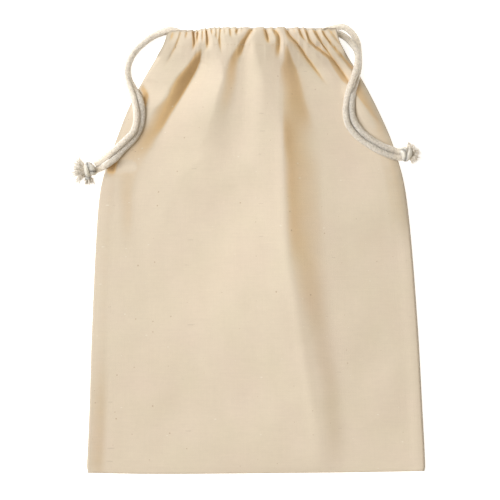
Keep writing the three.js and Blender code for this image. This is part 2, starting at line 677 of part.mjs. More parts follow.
const channels = [FRONT_CHANNEL, BACK_CHANNEL].map((route) => solid(cordTube(route, cordRadius)));

const cloth = [solid(hollowForm()), leftRoom, rightRoom, ...channels].reduce(
  (whole, cut) => whole.subtract(cut),
  solid(outerForm()),
);

addPart("bag_cloth", geometryOf(cloth), CLOTH_COLOUR, 0.95);
addPart("cord_left", cordTube(LEFT_CORD, cordRadius), CORD_COLOUR, 0.9);
addPart("cord_right", cordTube(RIGHT_CORD, cordRadius), CORD_COLOUR, 0.9);
addPart("knot_left", geometryOf(knot(LEFT_KNOT).subtract(leftRoom)), CORD_COLOUR, 0.9);
addPart("knot_right", geometryOf(knot(RIGHT_KNOT).subtract(rightRoom)), CORD_COLOUR, 0.9);

export default bag;
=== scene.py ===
"""A drawstring bag of unbleached cotton, lying on its back with its mouth half gathered.

Shapes are worked out in millimetres: x across the bag, up from its bottom fold, z above the floor.
"""

import math

import bpy
import numpy as np
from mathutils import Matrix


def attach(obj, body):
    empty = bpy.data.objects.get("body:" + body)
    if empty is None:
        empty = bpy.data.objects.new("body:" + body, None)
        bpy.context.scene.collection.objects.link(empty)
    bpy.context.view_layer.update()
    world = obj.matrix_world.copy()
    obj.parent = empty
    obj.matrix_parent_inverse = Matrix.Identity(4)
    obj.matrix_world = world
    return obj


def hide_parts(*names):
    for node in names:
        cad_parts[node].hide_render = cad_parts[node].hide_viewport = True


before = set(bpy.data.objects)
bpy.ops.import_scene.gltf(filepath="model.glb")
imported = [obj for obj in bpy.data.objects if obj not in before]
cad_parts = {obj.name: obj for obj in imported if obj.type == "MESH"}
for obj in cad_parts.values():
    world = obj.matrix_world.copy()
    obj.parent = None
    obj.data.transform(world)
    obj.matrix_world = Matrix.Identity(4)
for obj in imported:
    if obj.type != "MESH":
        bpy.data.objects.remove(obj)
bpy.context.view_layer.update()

MM = 0.001
BAG_LENGTH = 396
HALF_LENGTH = BAG_LENGTH / 2
HALF_WIDTH = 150
CLOTH_THICKNESS = 0.6


# Shared helpers
def smooth(t):
    t = np.clip(t, 0, 1)
    return t * t * (3 - 2 * t)


def eased(value, start, end):
    """0 where a value is at start and 1 where it is at end, smooth between them."""
    return smooth((value - start) / (end - start))


def lerp(a, b, t):
    return a + (b - a) * t


def hermite(t, start, leaving, end, arriving):
    """Smooth curve from start to end as t goes from 0 to 1, with its slopes at both."""
    return (
        (1 + 2 * t) * (1 - t) ** 2 * start + t * (1 - t) ** 2 * leaving
        + t * t * (3 - 2 * t) * end + t * t * (t - 1) * arriving
    )


def column(rows, k, at):
    """Smooth curve through column k of a table, at positions along its column 0."""
    table = np.array(rows, float)
    place, value = table[:, 0], table[:, k]
    slope = np.empty_like(place)
    slope[1:-1] = (value[2:] - value[:-2]) / (place[2:] - place[:-2])
    slope[0] = (value[1] - value[0]) / (place[1] - place[0])
    slope[-1] = (value[-1] - value[-2]) / (place[-1] - place[-2])
    at = np.clip(at, place[0], place[-1])
    i = np.clip(np.searchsorted(place, at, side="right") - 1, 0, len(place) - 2)
    span = place[i + 1] - place[i]
    t = (at - place[i]) / span
    return hermite(t, value[i], span * slope[i], value[i + 1], span * slope[i + 1])


def new_object(name, data):
    made = bpy.data.objects.new(name, data)
    bpy.context.scene.collection.objects.link(made)
    return made


def in_frame(points):
    """Points on the bag in millimetres as points of the frame."""
    return np.column_stack([points[:, 0], points[:, 1] - HALF_LENGTH, points[:, 2]]) * MM


def make_piece(name, shape, node, materials, kinds=None):
    """Mesh piece from a shape: points in millimetres on the bag, faces, and weave or braid coordinates.

    Kinds gives each face's place in the list of materials.
    """
    points, faces, coordinates = shape
    mesh = bpy.data.meshes.new(name)
    mesh.from_pydata(in_frame(points).tolist(), [], faces)
    mesh.polygons.foreach_set("use_smooth", [True] * len(mesh.polygons))
    layer = mesh.attributes.new("laid", "FLOAT_VECTOR", "POINT")
    layer.data.foreach_set("vector", (coordinates * MM).astype(np.float32).ravel())
    for material in materials:
        mesh.materials.append(material)
    if kinds is not None:
        mesh.polygons.foreach_set("material_index", kinds)
    mesh.update()
    piece = new_object(name, mesh)
    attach(piece, "root")
    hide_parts(node)
    return piece


# Materials
def new_node(kind, inputs, **settings):
    """A shader node in the same node tree as the sockets among its inputs."""
    tree = next(value.id_data for value in inputs.values() if isinstance(value, bpy.types.NodeSocket))
    made = tree.nodes.new(f"ShaderNode{kind}")
    for key, value in settings.items():
        setattr(made, key, value)
    for key, value in inputs.items():
        if isinstance(value, bpy.types.NodeSocket):
            tree.links.new(value, made.inputs[key])
        else:
            made.inputs[key].default_value = value
    return made


def calc(operation, a, b=0.0):
    return new_node("Math", {0: a, 1: b}, operation=operation).outputs[0]


def times(a, b):
    return calc("MULTIPLY", a, b)


def scaled(vector, scale):
    return new_node("VectorMath", {0: vector, 1: scale}, operation="MULTIPLY").outputs[0]


def noise(vector, scale, detail):
    """Noise from 0 to 1, its mean near 0.5."""
    inputs = {"Vector": vector, "Scale": scale, "Detail": detail}
    return new_node("TexNoise", inputs).outputs["Fac"]


def sway(value, amount):
    """A value near 0.5 turned into a small change either side of 0."""
    return times(calc("SUBTRACT", value, 0.5), amount)


def total(first, *others):
    for other in others:
        first = calc("ADD", first, other)
    return first


def blended(share, a, b):
    """One colour turning into another. The colours are sockets 6 and 7 in, and 2 out."""
    return new_node("Mix", {0: share, 6: a, 7: b}, data_type="RGBA").outputs[2]


def brightened(colour, factor):
    return new_node("VectorMath", {0: colour, "Scale": factor}, operation="SCALE").outputs[0]


def specks(vector, scale, size, share):
    """Scattered specks: 1 inside a speck and 0 outside, in a share of the cells."""
    cells = new_node("TexVoronoi", {"Vector": vector, "Scale": scale}, voronoi_dimensions="2D")
    chosen = new_node("SeparateColor", {0: cells.outputs["Color"]}).outputs[0]
    radius = times(chosen, size / share)
    near = calc("LESS_THAN", cells.outputs["Distance"], radius)
    return times(near, calc("LESS_THAN", chosen, share))


def spread(value, low, high):
    """0 where a value is at low and 1 where it is at high."""
    return new_node("MapRange", {0: value, 1: low, 2: high}, clamp=True).outputs[0]


def fabric_shader(colour, height, roughness, depth=0):
    """Matte cotton with a soft nap: colour, surface height in metres and roughness from nodes.

    Depth is how far light sinks into the yarns, in metres.
    """
    bump = new_node("Bump", {"Height": height, "Distance": 1.0, "Strength": 0.8})
    inputs = {
        "Base Color": colour, "Roughness": roughness, "Normal": bump.outputs[0],
        "Specular IOR Level": 0.2, "Sheen Weight": 0.12, "Sheen Roughness": 0.6,
    }
    if depth:
        inputs |= {
            "Subsurface Weight": 1.0, "Subsurface Scale": depth, "Subsurface Radius": (1.0, 1.0, 1.0),
        }
    surface = new_node("BsdfPrincipled", inputs)
    tree = surface.id_data
    tree.links.new(surface.outputs[0], tree.nodes["Material Output"].inputs["Surface"])


def new_material(name):
    material = bpy.data.materials.new(name)
    material.use_nodes = True
    tree = material.node_tree
    tree.nodes.remove(tree.nodes["Principled BSDF"])
    laid = tree.nodes.new("ShaderNodeAttribute")
    laid.attribute_name = "laid"
    return material, laid.outputs["Vector"]


# Colours, and factors that change them. A pair goes from the darker to the paler parts
CLOTH_TINTS = (0.74, 0.64, 0.51, 1), (0.75, 0.665, 0.54, 1)
ROSY_OR_GREEN = (1.015, 0.988, 1.015, 1), (0.987, 1.012, 0.977, 1)
UNCHANGED = (1, 1, 1, 1)
# Painted shade: a fold's shaded walls turn warm, and deep inside it a little redder still
WARM_PAINTED_SHADE = (1.17, 0.965, 0.66, 1)
DEEPER_PAINTED_SHADE = (1.0, 0.91, 0.84, 1)
SEED_BROWN = (0.42, 0.29, 0.17, 1)
FLECK_CREAM = (0.9, 0.84, 0.73, 1)
THREAD_CREAM = (0.80, 0.70, 0.56)
CORD_TINTS = (0.675, 0.618, 0.535, 1), (0.765, 0.706, 0.622, 1)
# knots and frayed ends are creamier and paler than the cord; part of that is painted light lifting the shade
# between wraps and fibres
KNOT_LIFTED_TINTS = (0.89, 0.795, 0.65, 1), (0.94, 0.86, 0.72, 1)
FRAY_LIFTED_TINTS = (0.84, 0.79, 0.71, 1), (0.9, 0.86, 0.785, 1)

# Sizes and places on the laid-out cloth in metres: across it, and down it from the front hem
THREAD_PITCH = 0.0009
HIGHLIGHT_ACROSS, HIGHLIGHT_DOWN = -0.026, 0.243  # the middle of a painted highlight on the front
HIGHLIGHT_WIDTH, HIGHLIGHT_HEIGHT, HIGHLIGHT_LEAN = 0.042, 0.06, 0.6
SHADED_RIGHT_STRIP = (0.1464, 0.1496)  # strips that turn down into the side seams, painted darker as shade; the left one below
SHADED_LEFT_STRIP = (-0.1440, -0.1497)


def painted_highlight(across, down):
    """A painted highlight: a little more brightness where the front faces the light, fading out all round.
    """
    past = calc("SUBTRACT", down, HIGHLIGHT_DOWN)
    off = total(across, times(past, HIGHLIGHT_LEAN), -HIGHLIGHT_ACROSS)
    off = calc("DIVIDE", off, HIGHLIGHT_WIDTH)
    past = calc("DIVIDE", past, HIGHLIGHT_HEIGHT)
    away = total(times(off, off), times(past, past))
    return times(calc("POWER", 0.37, away), 0.075)


def darken_with_painted_shade(painted_share):
    """Painted shade that darkens the mouth's rim, where the share is under 0, and a deep crease, where it is
    over 1.
    """
    rim = calc("MINIMUM", painted_share, 0.0)
    crease = calc("MINIMUM", calc("SUBTRACT", 1.0, painted_share), 0.0)
    return times(total(rim, crease), 0.3)


def tint_with_painted_shade(tint, painted_share):
    """Paints shade as colour: the shaded walls of a fold turn warm, and deep inside it a little redder
    still.
    """
    warm = new_node("Clamp", {0: painted_share}).outputs[0]
    tint = scaled(tint, blended(warm, UNCHANGED, WARM_PAINTED_SHADE))
    deep = new_node("Clamp", {0: calc("SUBTRACT", painted_share, 1.0)}).outputs[0]
    return scaled(tint, blended(deep, UNCHANGED, DEEPER_PAINTED_SHADE))


def cotton_cloth():
    """Unbleached plain weave with uneven yarns, slubs, seed specks and a faint change of tint, with shade
    painted on folds and edges and a painted highlight.
    """
    material, laid = new_material("cotton_cloth")
    # the third laid coordinate holds the cloth's share of painted shade
    across, down, shade_paint_metres = new_node("SeparateXYZ", {0: laid}).outputs
    painted_share = times(shade_paint_metres, 1 / MM)
    thread = math.tau / THREAD_PITCH
    warp_wave = calc("SINE", times(across, thread))
    weft_wave = calc("SINE", times(down, thread))
    weave = times(warp_wave, weft_wave)
    weft = noise(scaled(laid, (30, 2000, 1)), 1.0, 3.0)
    warp = noise(scaled(laid, (2000, 24, 1)), 1.0, 3.0)
    thick = noise(scaled(laid, (70, 620, 1)), 1.0, 2.0)
    slubs = specks(scaled(laid, (0.12, 1, 1)), 120, 0.05, 0.16)
    cloudy = noise(laid, 13, 3.0)
    patchy = noise(laid, 55, 2.0)
    uneven = noise(laid, 260, 3.0)
    grain = noise(laid, 900, 3.0)
    tint = blended(cloudy, *CLOTH_TINTS)
    rosy = noise(laid, 24, 1.0)
    tint = scaled(tint, blended(rosy, *ROSY_OR_GREEN))
    # painted shade on the strips along the side edges
    shade_right_strip = times(spread(across, *SHADED_RIGHT_STRIP), -0.42)
    shade_left_strip = times(spread(across, *SHADED_LEFT_STRIP), -0.3)
    # random changes of tone, plus painted shade at the side edges and in folds and a painted highlight
    level = total(
        1.0, sway(cloudy, 0.05), sway(patchy, 0.05), sway(weft, 0.07), sway(warp, 0.06), sway(thick, 0.05),
        sway(uneven, 0.06), sway(grain, 0.05), times(weave, 0.03), times(slubs, -0.1), shade_right_strip, shade_left_strip,
        painted_highlight(across, down), darken_with_painted_shade(painted_share),
    )
    colour = brightened(tint_with_painted_shade(tint, painted_share), level)
    dark = specks(laid, 62, 0.046, 0.26)
    pale = specks(scaled(laid, (0.6, 1, 1)), 80, 0.05, 0.26)
    colour = blended(times(dark, 0.5), colour, SEED_BROWN)
    colour = blended(times(pale, 0.5), colour, FLECK_CREAM)
    height = total(
        times(weave, 0.00003), sway(weft, 0.00010), sway(warp, 0.00008), times(slubs, 0.00010),
        sway(grain, 0.00004),
    )
    fabric_shader(colour, height, total(0.86, sway(patchy, 0.1)))
    return material


def cotton_cord(name, tints, mottling, depth):
    """Soft braided cotton with felted yarns, more or less mottled. Light sinks in by depth."""
    material, laid = new_material(name)
    yarns = noise(scaled(laid, (300, 1600, 1600)), 1.0, 3.0)
    felt = noise(laid, 1500, 3.0)
    mottled = noise(laid, 560, 2.0)
    patchy = noise(laid, 120, 2.0)
    tint = blended(patchy, *tints)
    level = total(1.0, sway(yarns, 0.36), sway(felt, 0.2), sway(mottled, mottling), sway(patchy, 0.1))
    height = total(sway(yarns, 0.00030), sway(felt, 0.00014))
    colour = brightened(tint, level)
    fabric_shader(colour, height, total(0.9, sway(felt, 0.1)), depth)
    return material


def sewing_thread():
    """Cream cotton thread with its twist."""
    material, laid = new_material("sewing_thread")
    twist = noise(scaled(laid, (2200, 900, 900)), 1.0, 2.0)
    colour = brightened(THREAD_CREAM, total(1.0, sway(twist, 0.2)))
    fabric_shader(colour, sway(twist, 0.00006), total(0.8, sway(twist, 0.1)))
    return material


CLOTH = cotton_cloth()
CORD = cotton_cord("cotton_cord", CORD_TINTS, mottling=0.8, depth=0.008)
KNOT = cotton_cord("knotted_cotton", KNOT_LIFTED_TINTS, mottling=0.4, depth=0.006)
FRAY = cotton_cord("frayed_cotton", FRAY_LIFTED_TINTS, mottling=0.2, depth=0)
THREAD = sewing_thread()


# Tubes along a path
CURVE_STEPS = 24  # from one point of a curve to the next


def curve_through(points):
    """Centripetal curve through points, as many short steps."""
    points = np.array(points, float)
    ends = np.vstack([2 * points[0] - points[1], points, 2 * points[-1] - points[-2]])
    found = []
    for p0, p1, p2, p3 in zip(ends, ends[1:], ends[2:], ends[3:]):
        d0, d1, d2 = (math.sqrt(np.linalg.norm(b - a)) for a, b in ((p0, p1), (p1, p2), (p2, p3)))
        t1 = ((p1 - p0) / d0 - (p2 - p0) / (d0 + d1) + (p2 - p1) / d1) * d1
        t2 = ((p2 - p1) / d1 - (p3 - p1) / (d1 + d2) + (p3 - p2) / d2) * d1
        for t in np.arange(CURVE_STEPS) / CURVE_STEPS:
            found.append(hermite(t, p1, t1, p2, t2))
    found.append(points[-1])
    return np.array(found)


def lengths(path):
    return np.concatenate([[0], np.cumsum(np.linalg.norm(np.diff(path, axis=0), axis=1))])


def points_along(path, marks):
    run = lengths(path)
    return np.column_stack([np.interp(marks, run, path[:, k]) for k in range(3)])


def resampled(path, step):
    """The same path in even steps."""
    length = lengths(path)[-1]
    return points_along(path, np.linspace(0, length, max(3, int(round(length / step)) + 1)))


def frames_along(path):
    """Two directions across the path at each point, turning with it and not about it."""
    tangents = np.gradient(path, axis=0)
    tangents /= np.linalg.norm(tangents, axis=1)[:, None]
    side = np.cross(tangents[0], (0, 0, 1) if abs(tangents[0][2]) < 0.9 else (1, 0, 0))
    sides = []
    for tangent in tangents:
        side = side - tangent * (side @ tangent)
        side /= np.linalg.norm(side)
        sides.append(side)
    sides = np.array(sides)
    return sides, np.cross(tangents, sides)


def tube(path, radii, sides, start=0.0):
    """Closed tube as a shape: radii is one number per ring or one per point."""
    across, over = frames_along(path)
    turn = np.arange(sides) * math.tau / sides
    if radii.ndim == 1:
        radii = radii[:, None]
    rings = (
        path[:, None]
        + across[:, None] * (np.cos(turn) * radii)[..., None]
        + over[:, None] * (np.sin(turn) * radii)[..., None]
    )
    n = len(path)
    run = lengths(path) + start
    laid = np.stack([
        np.repeat(run[:, None], sides, axis=1), radii * np.sin(turn), radii * np.cos(turn)
    ], axis=-1)
    pairs = [(j, (j + 1) % sides) for j in range(sides)]
    end = (n - 1) * sides
    faces = [
        (low + j, low + k, low + sides + k, low + sides + j)
        for low in range(0, end, sides)
        for j, k in pairs
    ]
    for j, k in pairs:
        faces += [(n * sides, k, j), (n * sides + 1, end + j, end + k)]
    points = np.vstack([rings.reshape(-1, 3), path[:1], path[-1:]])
    coordinates = np.vstack([laid.reshape(-1, 3), [[run[0], 0, 0]], [[run[-1], 0, 0]]])
    return points, faces, coordinates


def joined(parts):
    """Several shapes as one."""
    points, faces, coordinates, count = [], [], [], 0
    for p, f, c in parts:
        points.append(p)
        coordinates.append(c)
        faces.extend(tuple(i + count for i in face) for face in f)
        count += len(p)
    return np.vstack(points), faces, np.vstack(coordinates)


BRAID_STRANDS = 8
BRAID_PITCH = 2.5
BRAID_RISE = 0.5
BRAID_MEAN = 0.6  # share of the rise that lies inside the cord's radius
YARN_WEAR = 0.035  # fine unevenness of the yarns
RADIUS_CHANGE = 0.05  # slow unevenness along the cord
RADIUS_STEP = 7.0  # and its spacing


def braid(run, turn):
    """Height of a round braid's surface, 0 to 1: strands both ways round, each over and under."""
    one = BRAID_STRANDS * turn / math.tau + run / BRAID_PITCH
    other = BRAID_STRANDS * turn / math.tau - run / BRAID_PITCH
    first, second = 0.5 + 0.5 * np.cos(math.tau * one), 0.5 + 0.5 * np.cos(math.tau * other)
    above = np.cos(math.pi * one) * np.cos(math.pi * other)
    return first * (0.5 + 0.5 * above) + second * (0.5 - 0.5 * above)


def braided_tube(path, radius, sides, start, seed, swell=None, flat=1.0):
    """Braided cord along an evenly stepped path, pressed flat to a share of its height."""
    run = lengths(path) + start
    turn = np.arange(sides) * math.tau / sides
    relief = (braid(run[:, None], turn[None]) - BRAID_MEAN) * BRAID_RISE
    chance = np.random.default_rng(seed)
    worn = chance.normal(0, YARN_WEAR, relief.shape)
    worn = (worn + np.roll(worn, 1, 0) + np.roll(worn, 1, 1)) / 1.7
    spots = np.arange(run[0], run[-1] + RADIUS_STEP + 1, RADIUS_STEP)
    slow = np.interp(run, spots, chance.normal(0, RADIUS_CHANGE, len(spots)))
    radii = radius + relief + worn + slow[:, None]
    if swell is not None:
        radii = radii * swell[:, None]
    points, faces, coordinates = tube(path, radii, sides, start)
    middle = np.concatenate([np.repeat(path[:, 2], sides), path[:1, 2], path[-1:, 2]])
    points[:, 2] = middle + (points[:, 2] - middle) * flat
    return points, faces, coordinates


# The hems, and the layers of cloth that they are rolled from
STITCH_LINE = 380
CASING_MIDDLE = 388
CASING_HALF = 8
HEM_LEFT, HEM_RIGHT, HEM_EASE = -57, 60, 4  # the inner layers end short of the mouth's corners
LAYER = 1.5  # between the outer and inner faces of a hem at its foot
FRONT_LAYERS, BACK_LAYERS = 9.1, 6.7  # and how much more at its middle
SEAM_DROP = 1.7  # how far below the front's side edge the seam lies
FRONT_CURL, BACK_CURL = 6.5, 3.35  # how far a hem's top edge curls down or up
FRONT_CREASE, BACK_CREASE = 3.0, 1.2  # the deepest that a gather cuts into a hem
BACK_MIRROR = -8  # the back has two of the front's folds and its gathers, mirrored about half of this x

# Outline of the cloth: up, left, right, height at the left, height at the right, crown
SECTIONS = [
    (0, -150, 150, 3, 3, 3), (6, -149.8, 149.8, 3, 3, 5.4), (22, -149, 149.2, 3, 3, 8.2),
    (60, -147.4, 147.2, 3, 3, 10.8), (100, -146.3, 145.1, 3.2, 3, 13), (130, -145.2, 143.3, 3.6, 3, 14.8),
    (200, -142, 138, 4.6, 3.2, 18), (246, -138.5, 133, 5.8, 3.4, 19.3), (268, -133.5, 128.5, 6.2, 3.6, 19.6),
    (296, -123.5, 119.5, 6.2, 3.8, 20), (324, -112.5, 107, 6.2, 4, 20.6), (346, -101, 95.5, 6.4, 5.2, 21.2),
    (362, -92.5, 86, 8.4, 8, 22.2), (376, -86, 78, 13.5, 13.5, 23.8), (386, -81.5, 73.5, 16.5, 16.5, 25),
    (396, -78.5, 71, 17.5, 17.5, 25.4),
]

# How far the seam allowance lifts the lower left side: up, height
SEAM_LIFT = [(0, 1.4), (12, 2.6), (53, 2.6), (83, 1.7), (118, 0.5), (140, 0), (396, 0)]

# The line along which the cloth lies highest: up, x
CREST = [
    (0, 56), (47, 52), (83, 46), (118, 40), (153, 35), (189, 28), (242, 25), (270, 24), (330, 24),
    (396, 24),
]

# Each fold: its left wall, its right wall, then rows of up, x, depth, left width, right width
FOLDS = [
    ("steep", "ramp", [
        (190, -109, 0, 8, 14), (215, -108.5, 0.9, 9, 18), (242, -107, 1.6, 10, 26),
        (260, -103.5, 2.2, 13, 28), (273, -98.7, 3.4, 17, 31), (286, -90.8, 4.6, 18, 33),
        (295, -87.2, 5, 17, 33), (304, -82.3, 5.6, 16, 33), (313, -77.4, 6.2, 15.5, 31),
        (322, -71.9, 7, 15.5, 29), (330.5, -66.8, 7.8, 14, 26), (339.4, -61.5, 8.8, 13.7, 24),
        (348.3, -56.6, 10, 13.2, 23), (357, -52.2, 8.6, 11.6, 20), (366, -49.1, 5.8, 8.8, 16),
        (372, -48, 3.4, 7.4, 12), (378, -47.3, 1.2, 6, 9), (390, -47, 0.6, 5, 7),
    ]),
    ("soft", "soft", [
        (262, -21, 0, 24, 20), (277, -19, 0.8, 24, 20), (295, -18, 1.4, 24, 22), (313, -17.5, 2.3, 23, 22),
        (330, -15, 3.5, 20, 22), (348, -13.3, 4.2, 17, 20), (357, -13, 4.2, 15.5, 18),
        (366, -12.4, 4, 12.5, 14), (376, -9.5, 3.4, 9, 9), (390, -6, 1, 6, 6),
    ]),
    ("step", "line", [
        (0, 82, 0, 20, 66), (12, 81, 1.2, 20, 66), (47, 79, 2.1, 20, 66), (83, 76, 2.5, 20, 68),
        (118, 70, 2.7, 21.5, 70), (153, 64.5, 3.3, 24, 72), (189, 60.5, 4.3, 29.5, 76),
        (242, 57, 5.6, 31, 78), (270, 57.5, 5.8, 32, 68), (299, 54, 6.1, 27.5, 58),
        (313, 50.2, 6.2, 24.6, 50), (330, 44.4, 6.1, 20, 42), (339, 42, 5.7, 18, 42),
        (348, 39.4, 5.6, 15.4, 40), (357, 36.7, 5.4, 12.7, 38), (366, 32.4, 3.2, 7, 34),
        (375, 29.5, 1.6, 4.5, 30), (384, 27.5, 0, 3, 30),
    ]),
    ("line", "line", [
        (324, -96, 0, 4, 8), (329, -95.2, 1.7, 4.6, 12), (335, -94.6, 3.1, 5, 16),
        (341, -97.2, 3.1, 5, 16), (346, -100, 2.4, 4, 13), (350, -102, 0, 3, 9),
    ]),
    ("line", "line", [
        (316, -104, 0, 5, 6), (324, -104, -1.6, 5, 7), (331, -104, -1.8, 4, 6), (336, -105.5, 0, 4, 6),
    ]),
    ("soft", "line", [
        (304, 114, 0, 10, 5), (312, 107.6, -2, 11, 5.5), (318, 102.4, -3.4, 12, 6),
        (326, 96, -4.2, 12, 6.6), (333, 90.6, -3.6, 11, 7), (340, 86, -1.6, 10, 7), (348, 82, 0, 9, 7),
    ]),
    ("line", "line", [
        (265.6, -124.8, 0, 7, 14), (268, -124.6, 1.8, 7, 17), (271.6, -124.2, 3, 7, 18),
        (275, -123.8, 2.4, 7, 16), (278, -122.6, 0, 6, 10),
    ]),
    ("line", "line", [
        (261, -134.5, 0, 4, 7), (267, -133, -2.4, 4, 8), (272, -131.8, -2.8, 4, 8),
        (276, -130.4, -1.6, 4, 7), (280, -129, 0, 4, 6),
    ]),
    ("line", "line", [
        (343, 84.5, 0, 3, 4), (348, 81.6, 2.2, 4.5, 5), (354, 77.8, 2.6, 4.6, 5), (361, 72.6, 2, 4, 4.6),
        (368, 67.4, 1.2, 3, 4), (376, 60, 0, 3, 3),
    ]),
    ("line", "line", [
        (44, 141.8, 0, 5, 3), (52, 141.6, 0.7, 6, 3), (66, 140.9, 0.9, 6, 3), (80, 140.2, 0.9, 5, 2.6),
        (88, 139.6, 0.5, 4, 2.4), (92, 139.2, 0, 3, 2),
    ]),
    ("line", "line", [
        (357, -38, 0, 1.5, 1.6), (360, -42, 0.5, 1.6, 1.7), (364, -47, 0.6, 1.6, 1.7),
        (367.5, -51.5, 0, 1.5, 1.6),
    ]),
]

# Gathers in the mouth: points of up and x, depth, left width, right width
GATHERS = [
    ([(384, -76.4), (394, -72.6)], 1.1, 1.6, 2),
    ([(358, -82.5), (374, -74), (384, -69.5), (394, -66.5)], 1, 1.6, 2.4),
    ([(386, -62.9), (394, -60.8)], 1.2, 1.4, 1.8),
    ([(374, -56.6), (384, -54), (394, -54.9)], 2.2, 1.4, 2.2),
    ([(380, -51.3), (386, -52), (395, -51.2)], 3, 1.6, 1.8),
    ([(381, -47.3), (395, -47.3)], 2, 1.3, 1.6),
    ([(373, -46), (380, -42.3), (395, -43.4)], 3, 1.8, 1.4),
    ([(388, -38.4), (395, -39.4)], 1.8, 1.2, 1.6),
    ([(383, -34.3), (395, -35.1)], 1.4, 1.4, 1.6),
    ([(369, -30.1), (388, -31.9), (395, -31.2)], 1.8, 1.2, 1.6),
    ([(388, -27.4), (395, -27.9)], 1, 1.2, 1.4),
    ([(385, -21.2), (395, -22.6)], 1.4, 1.4, 1.6),
    ([(388, -17.7), (395, -16.4)], 2.2, 1.2, 1.6),
    ([(390, -13.3), (395, -12.4)], 0.9, 1.2, 1.4),
    ([(367, -13.3), (381, -10.2), (388, -6.6), (395, -2.7)], 2.6, 2.8, 1.1),
    ([(380, 12.4), (389, 10.2), (395, 8.5)], 3, 1.3, 2.2),
    ([(391, 14.2), (395, 13.3)], 1, 1.2, 1.2),
    ([(365, 19.9), (380, 21.1), (388, 20.6), (395, 16.5)], 3.2, 2.6, 1.2),
    ([(340, 65.4), (356, 54.4), (369, 45.1), (380, 37.8), (389, 30.4), (395, 27.1)], 3.4, 1.5, 2.8),
    ([(389, 35.4), (395, 33.2)], 1.2, 1.2, 1.4),
    ([(381, 45.6), (388, 41.2), (395, 38.3)], 2.6, 1.2, 2.2),
    ([(385, 47.3), (395, 43.2)], 2, 1.1, 1.6),
    ([(348, 81.4), (354, 77.3), (367, 67.7), (378, 55.2), (384, 48.5), (394, 44.7)], 3.4, 1.6, 2.8),
    ([(386, 56.2), (395, 50.6)], 2.2, 1.1, 1.6),
    ([(334, 91.6), (347, 82.4), (355.5, 76.4), (368, 67.7), (386.2, 56.2), (395, 52.4)], 3.4, 1.2, 3),
    ([(330, 109), (346, 96.6), (359.3, 85), (375.7, 71.6), (387.2, 62.5), (395, 58.6)], 3.4, 1.3, 2.6),
    ([(374, 78.8), (384, 72.6), (395, 64.9)], 2.2, 1.2, 2),
    ([(388, 71.7), (395, 68.1)], 1.4, 1.1, 1.4),
]
BACK_GATHERS = [
    (
        [(BAG_LENGTH - (BAG_LENGTH - up) * 1.3, BACK_MIRROR - x) for up, x in points],
        depth * 0.6, right * 1.5, left * 1.5,
    )
    for points, depth, left, right in GATHERS
]


# The form of a gather: widening and fading towards its foot, and the wide valley round its crease
GATHER_SPREAD, GATHER_FADE = 0.6, 0.4
VALLEY_SHARE, VALLEY_WIDTH = 0.22, 2.6


# Walls of the folds: 0 at the crest and 1 at the trough
def rounded(s):
    return np.sin(math.pi * s / 2) ** 2


def stepped(s, up):
    """A wall that steepens to its foot near the mouth, sets in fast half way down and is soft below."""
    bend = 0.3
    past = np.maximum(s - bend, 0)
    early = np.minimum(s / bend, 1)
    middle = (bend * (early ** 3 - early ** 4 / 2) + past - 0.607 * past ** 2) / 0.5525
    upper = lerp(middle, s ** 1.5, eased(up, 295, 325))
    return lerp(rounded(s), upper, eased(up, 175, 220))


WALLS = {
    "soft": lambda s, up: rounded(s),
    "ramp": lambda s, up: s ** 1.2,
    "steep": lambda s, up: s ** 1.5,
    "line": lambda s, up: s,
    "step": stepped,
}


# Heights of the cloth
def beside(rows, x, up):
    """How far x is to the right of a line given as rows of up and x, square to it."""
    lean = (column(rows, 1, up + 1) - column(rows, 1, up - 1)) / 2
    return (x - column(rows, 1, up)) / np.hypot(1, lean)


def fold_depth(fold, x, up):
    left_wall, right_wall, rows = fold
    away = beside(rows, x, up)
    left, right = column(rows, 3, up), column(rows, 4, up)
    soft = 0.08
    if left_wall == "steep":
        soft = soft + 0.5 * eased(up, 312, 267)
    elif left_wall == "step":
        soft = soft + 0.14 * eased(up, 372, 347) * eased(up, 270, 300)
    soft = soft * np.minimum(left, right)
    s = np.clip(1 - (np.hypot(away, soft) - soft) / np.where(away < 0, left, right), 0, 1)
    wall = np.where(away < 0, WALLS[left_wall](s, up), WALLS[right_wall](s, up))
    within = (up >= rows[0][0]) & (up <= rows[-1][0])
    return np.where(within, column(rows, 2, up) * wall, 0)


def gathered(gathers, x, up):
    """Narrow creases down from the mouth, each in a wider valley: depth, and a share of painted shade, 1
    deep inside one.
    """
    deepest, within = np.zeros_like(x), np.zeros_like(x)
    for points, depth, left, right in gathers:
        along = np.clip((BAG_LENGTH - up) / (BAG_LENGTH - points[0][0]), 0, 1)
        away = beside(points, x, up) / (1 + GATHER_SPREAD * along)
        inner = np.where(away < 0, -away / (0.8 * left), away / (0.5 * right))
        away = np.where(away < 0, -away / left, away / (2.2 * right))
        crease, valley = np.clip(1 - away, 0, 1) ** 1.3, smooth(1 - away / VALLEY_WIDTH)
        fade = 1 - eased(along, GATHER_FADE, 1)
        deepest = np.maximum(deepest, depth * fade * lerp(crease, valley, VALLEY_SHARE))
        within = np.maximum(within, np.minimum(depth / 3, 1) * fade * smooth(1 - inner))
    return deepest, within


def ripple(x, up, size, seed):
    """Gentle uneven waves of about a size, their usual height 1."""
    chance = np.random.default_rng(seed)
    found = np.zeros(np.broadcast(x, up).shape)
    waves = 14
    for _ in range(waves):
        turn, phase = chance.uniform(0, math.tau, 2)
        pitch = size * chance.uniform(0.6, 1.7)
        found += np.sin((x * math.cos(turn) + up * math.sin(turn)) * math.tau / pitch + phase)
    return found / math.sqrt(waves / 2)


def edges(up):
    return column(SECTIONS, 1, up), column(SECTIONS, 2, up)


def inward(x, up):
    left, right = edges(up)
    return np.maximum(np.minimum(x - left, right - x), 0)


def casing_share(up):
    return eased(up, STITCH_LINE, STITCH_LINE + HEM_EASE)


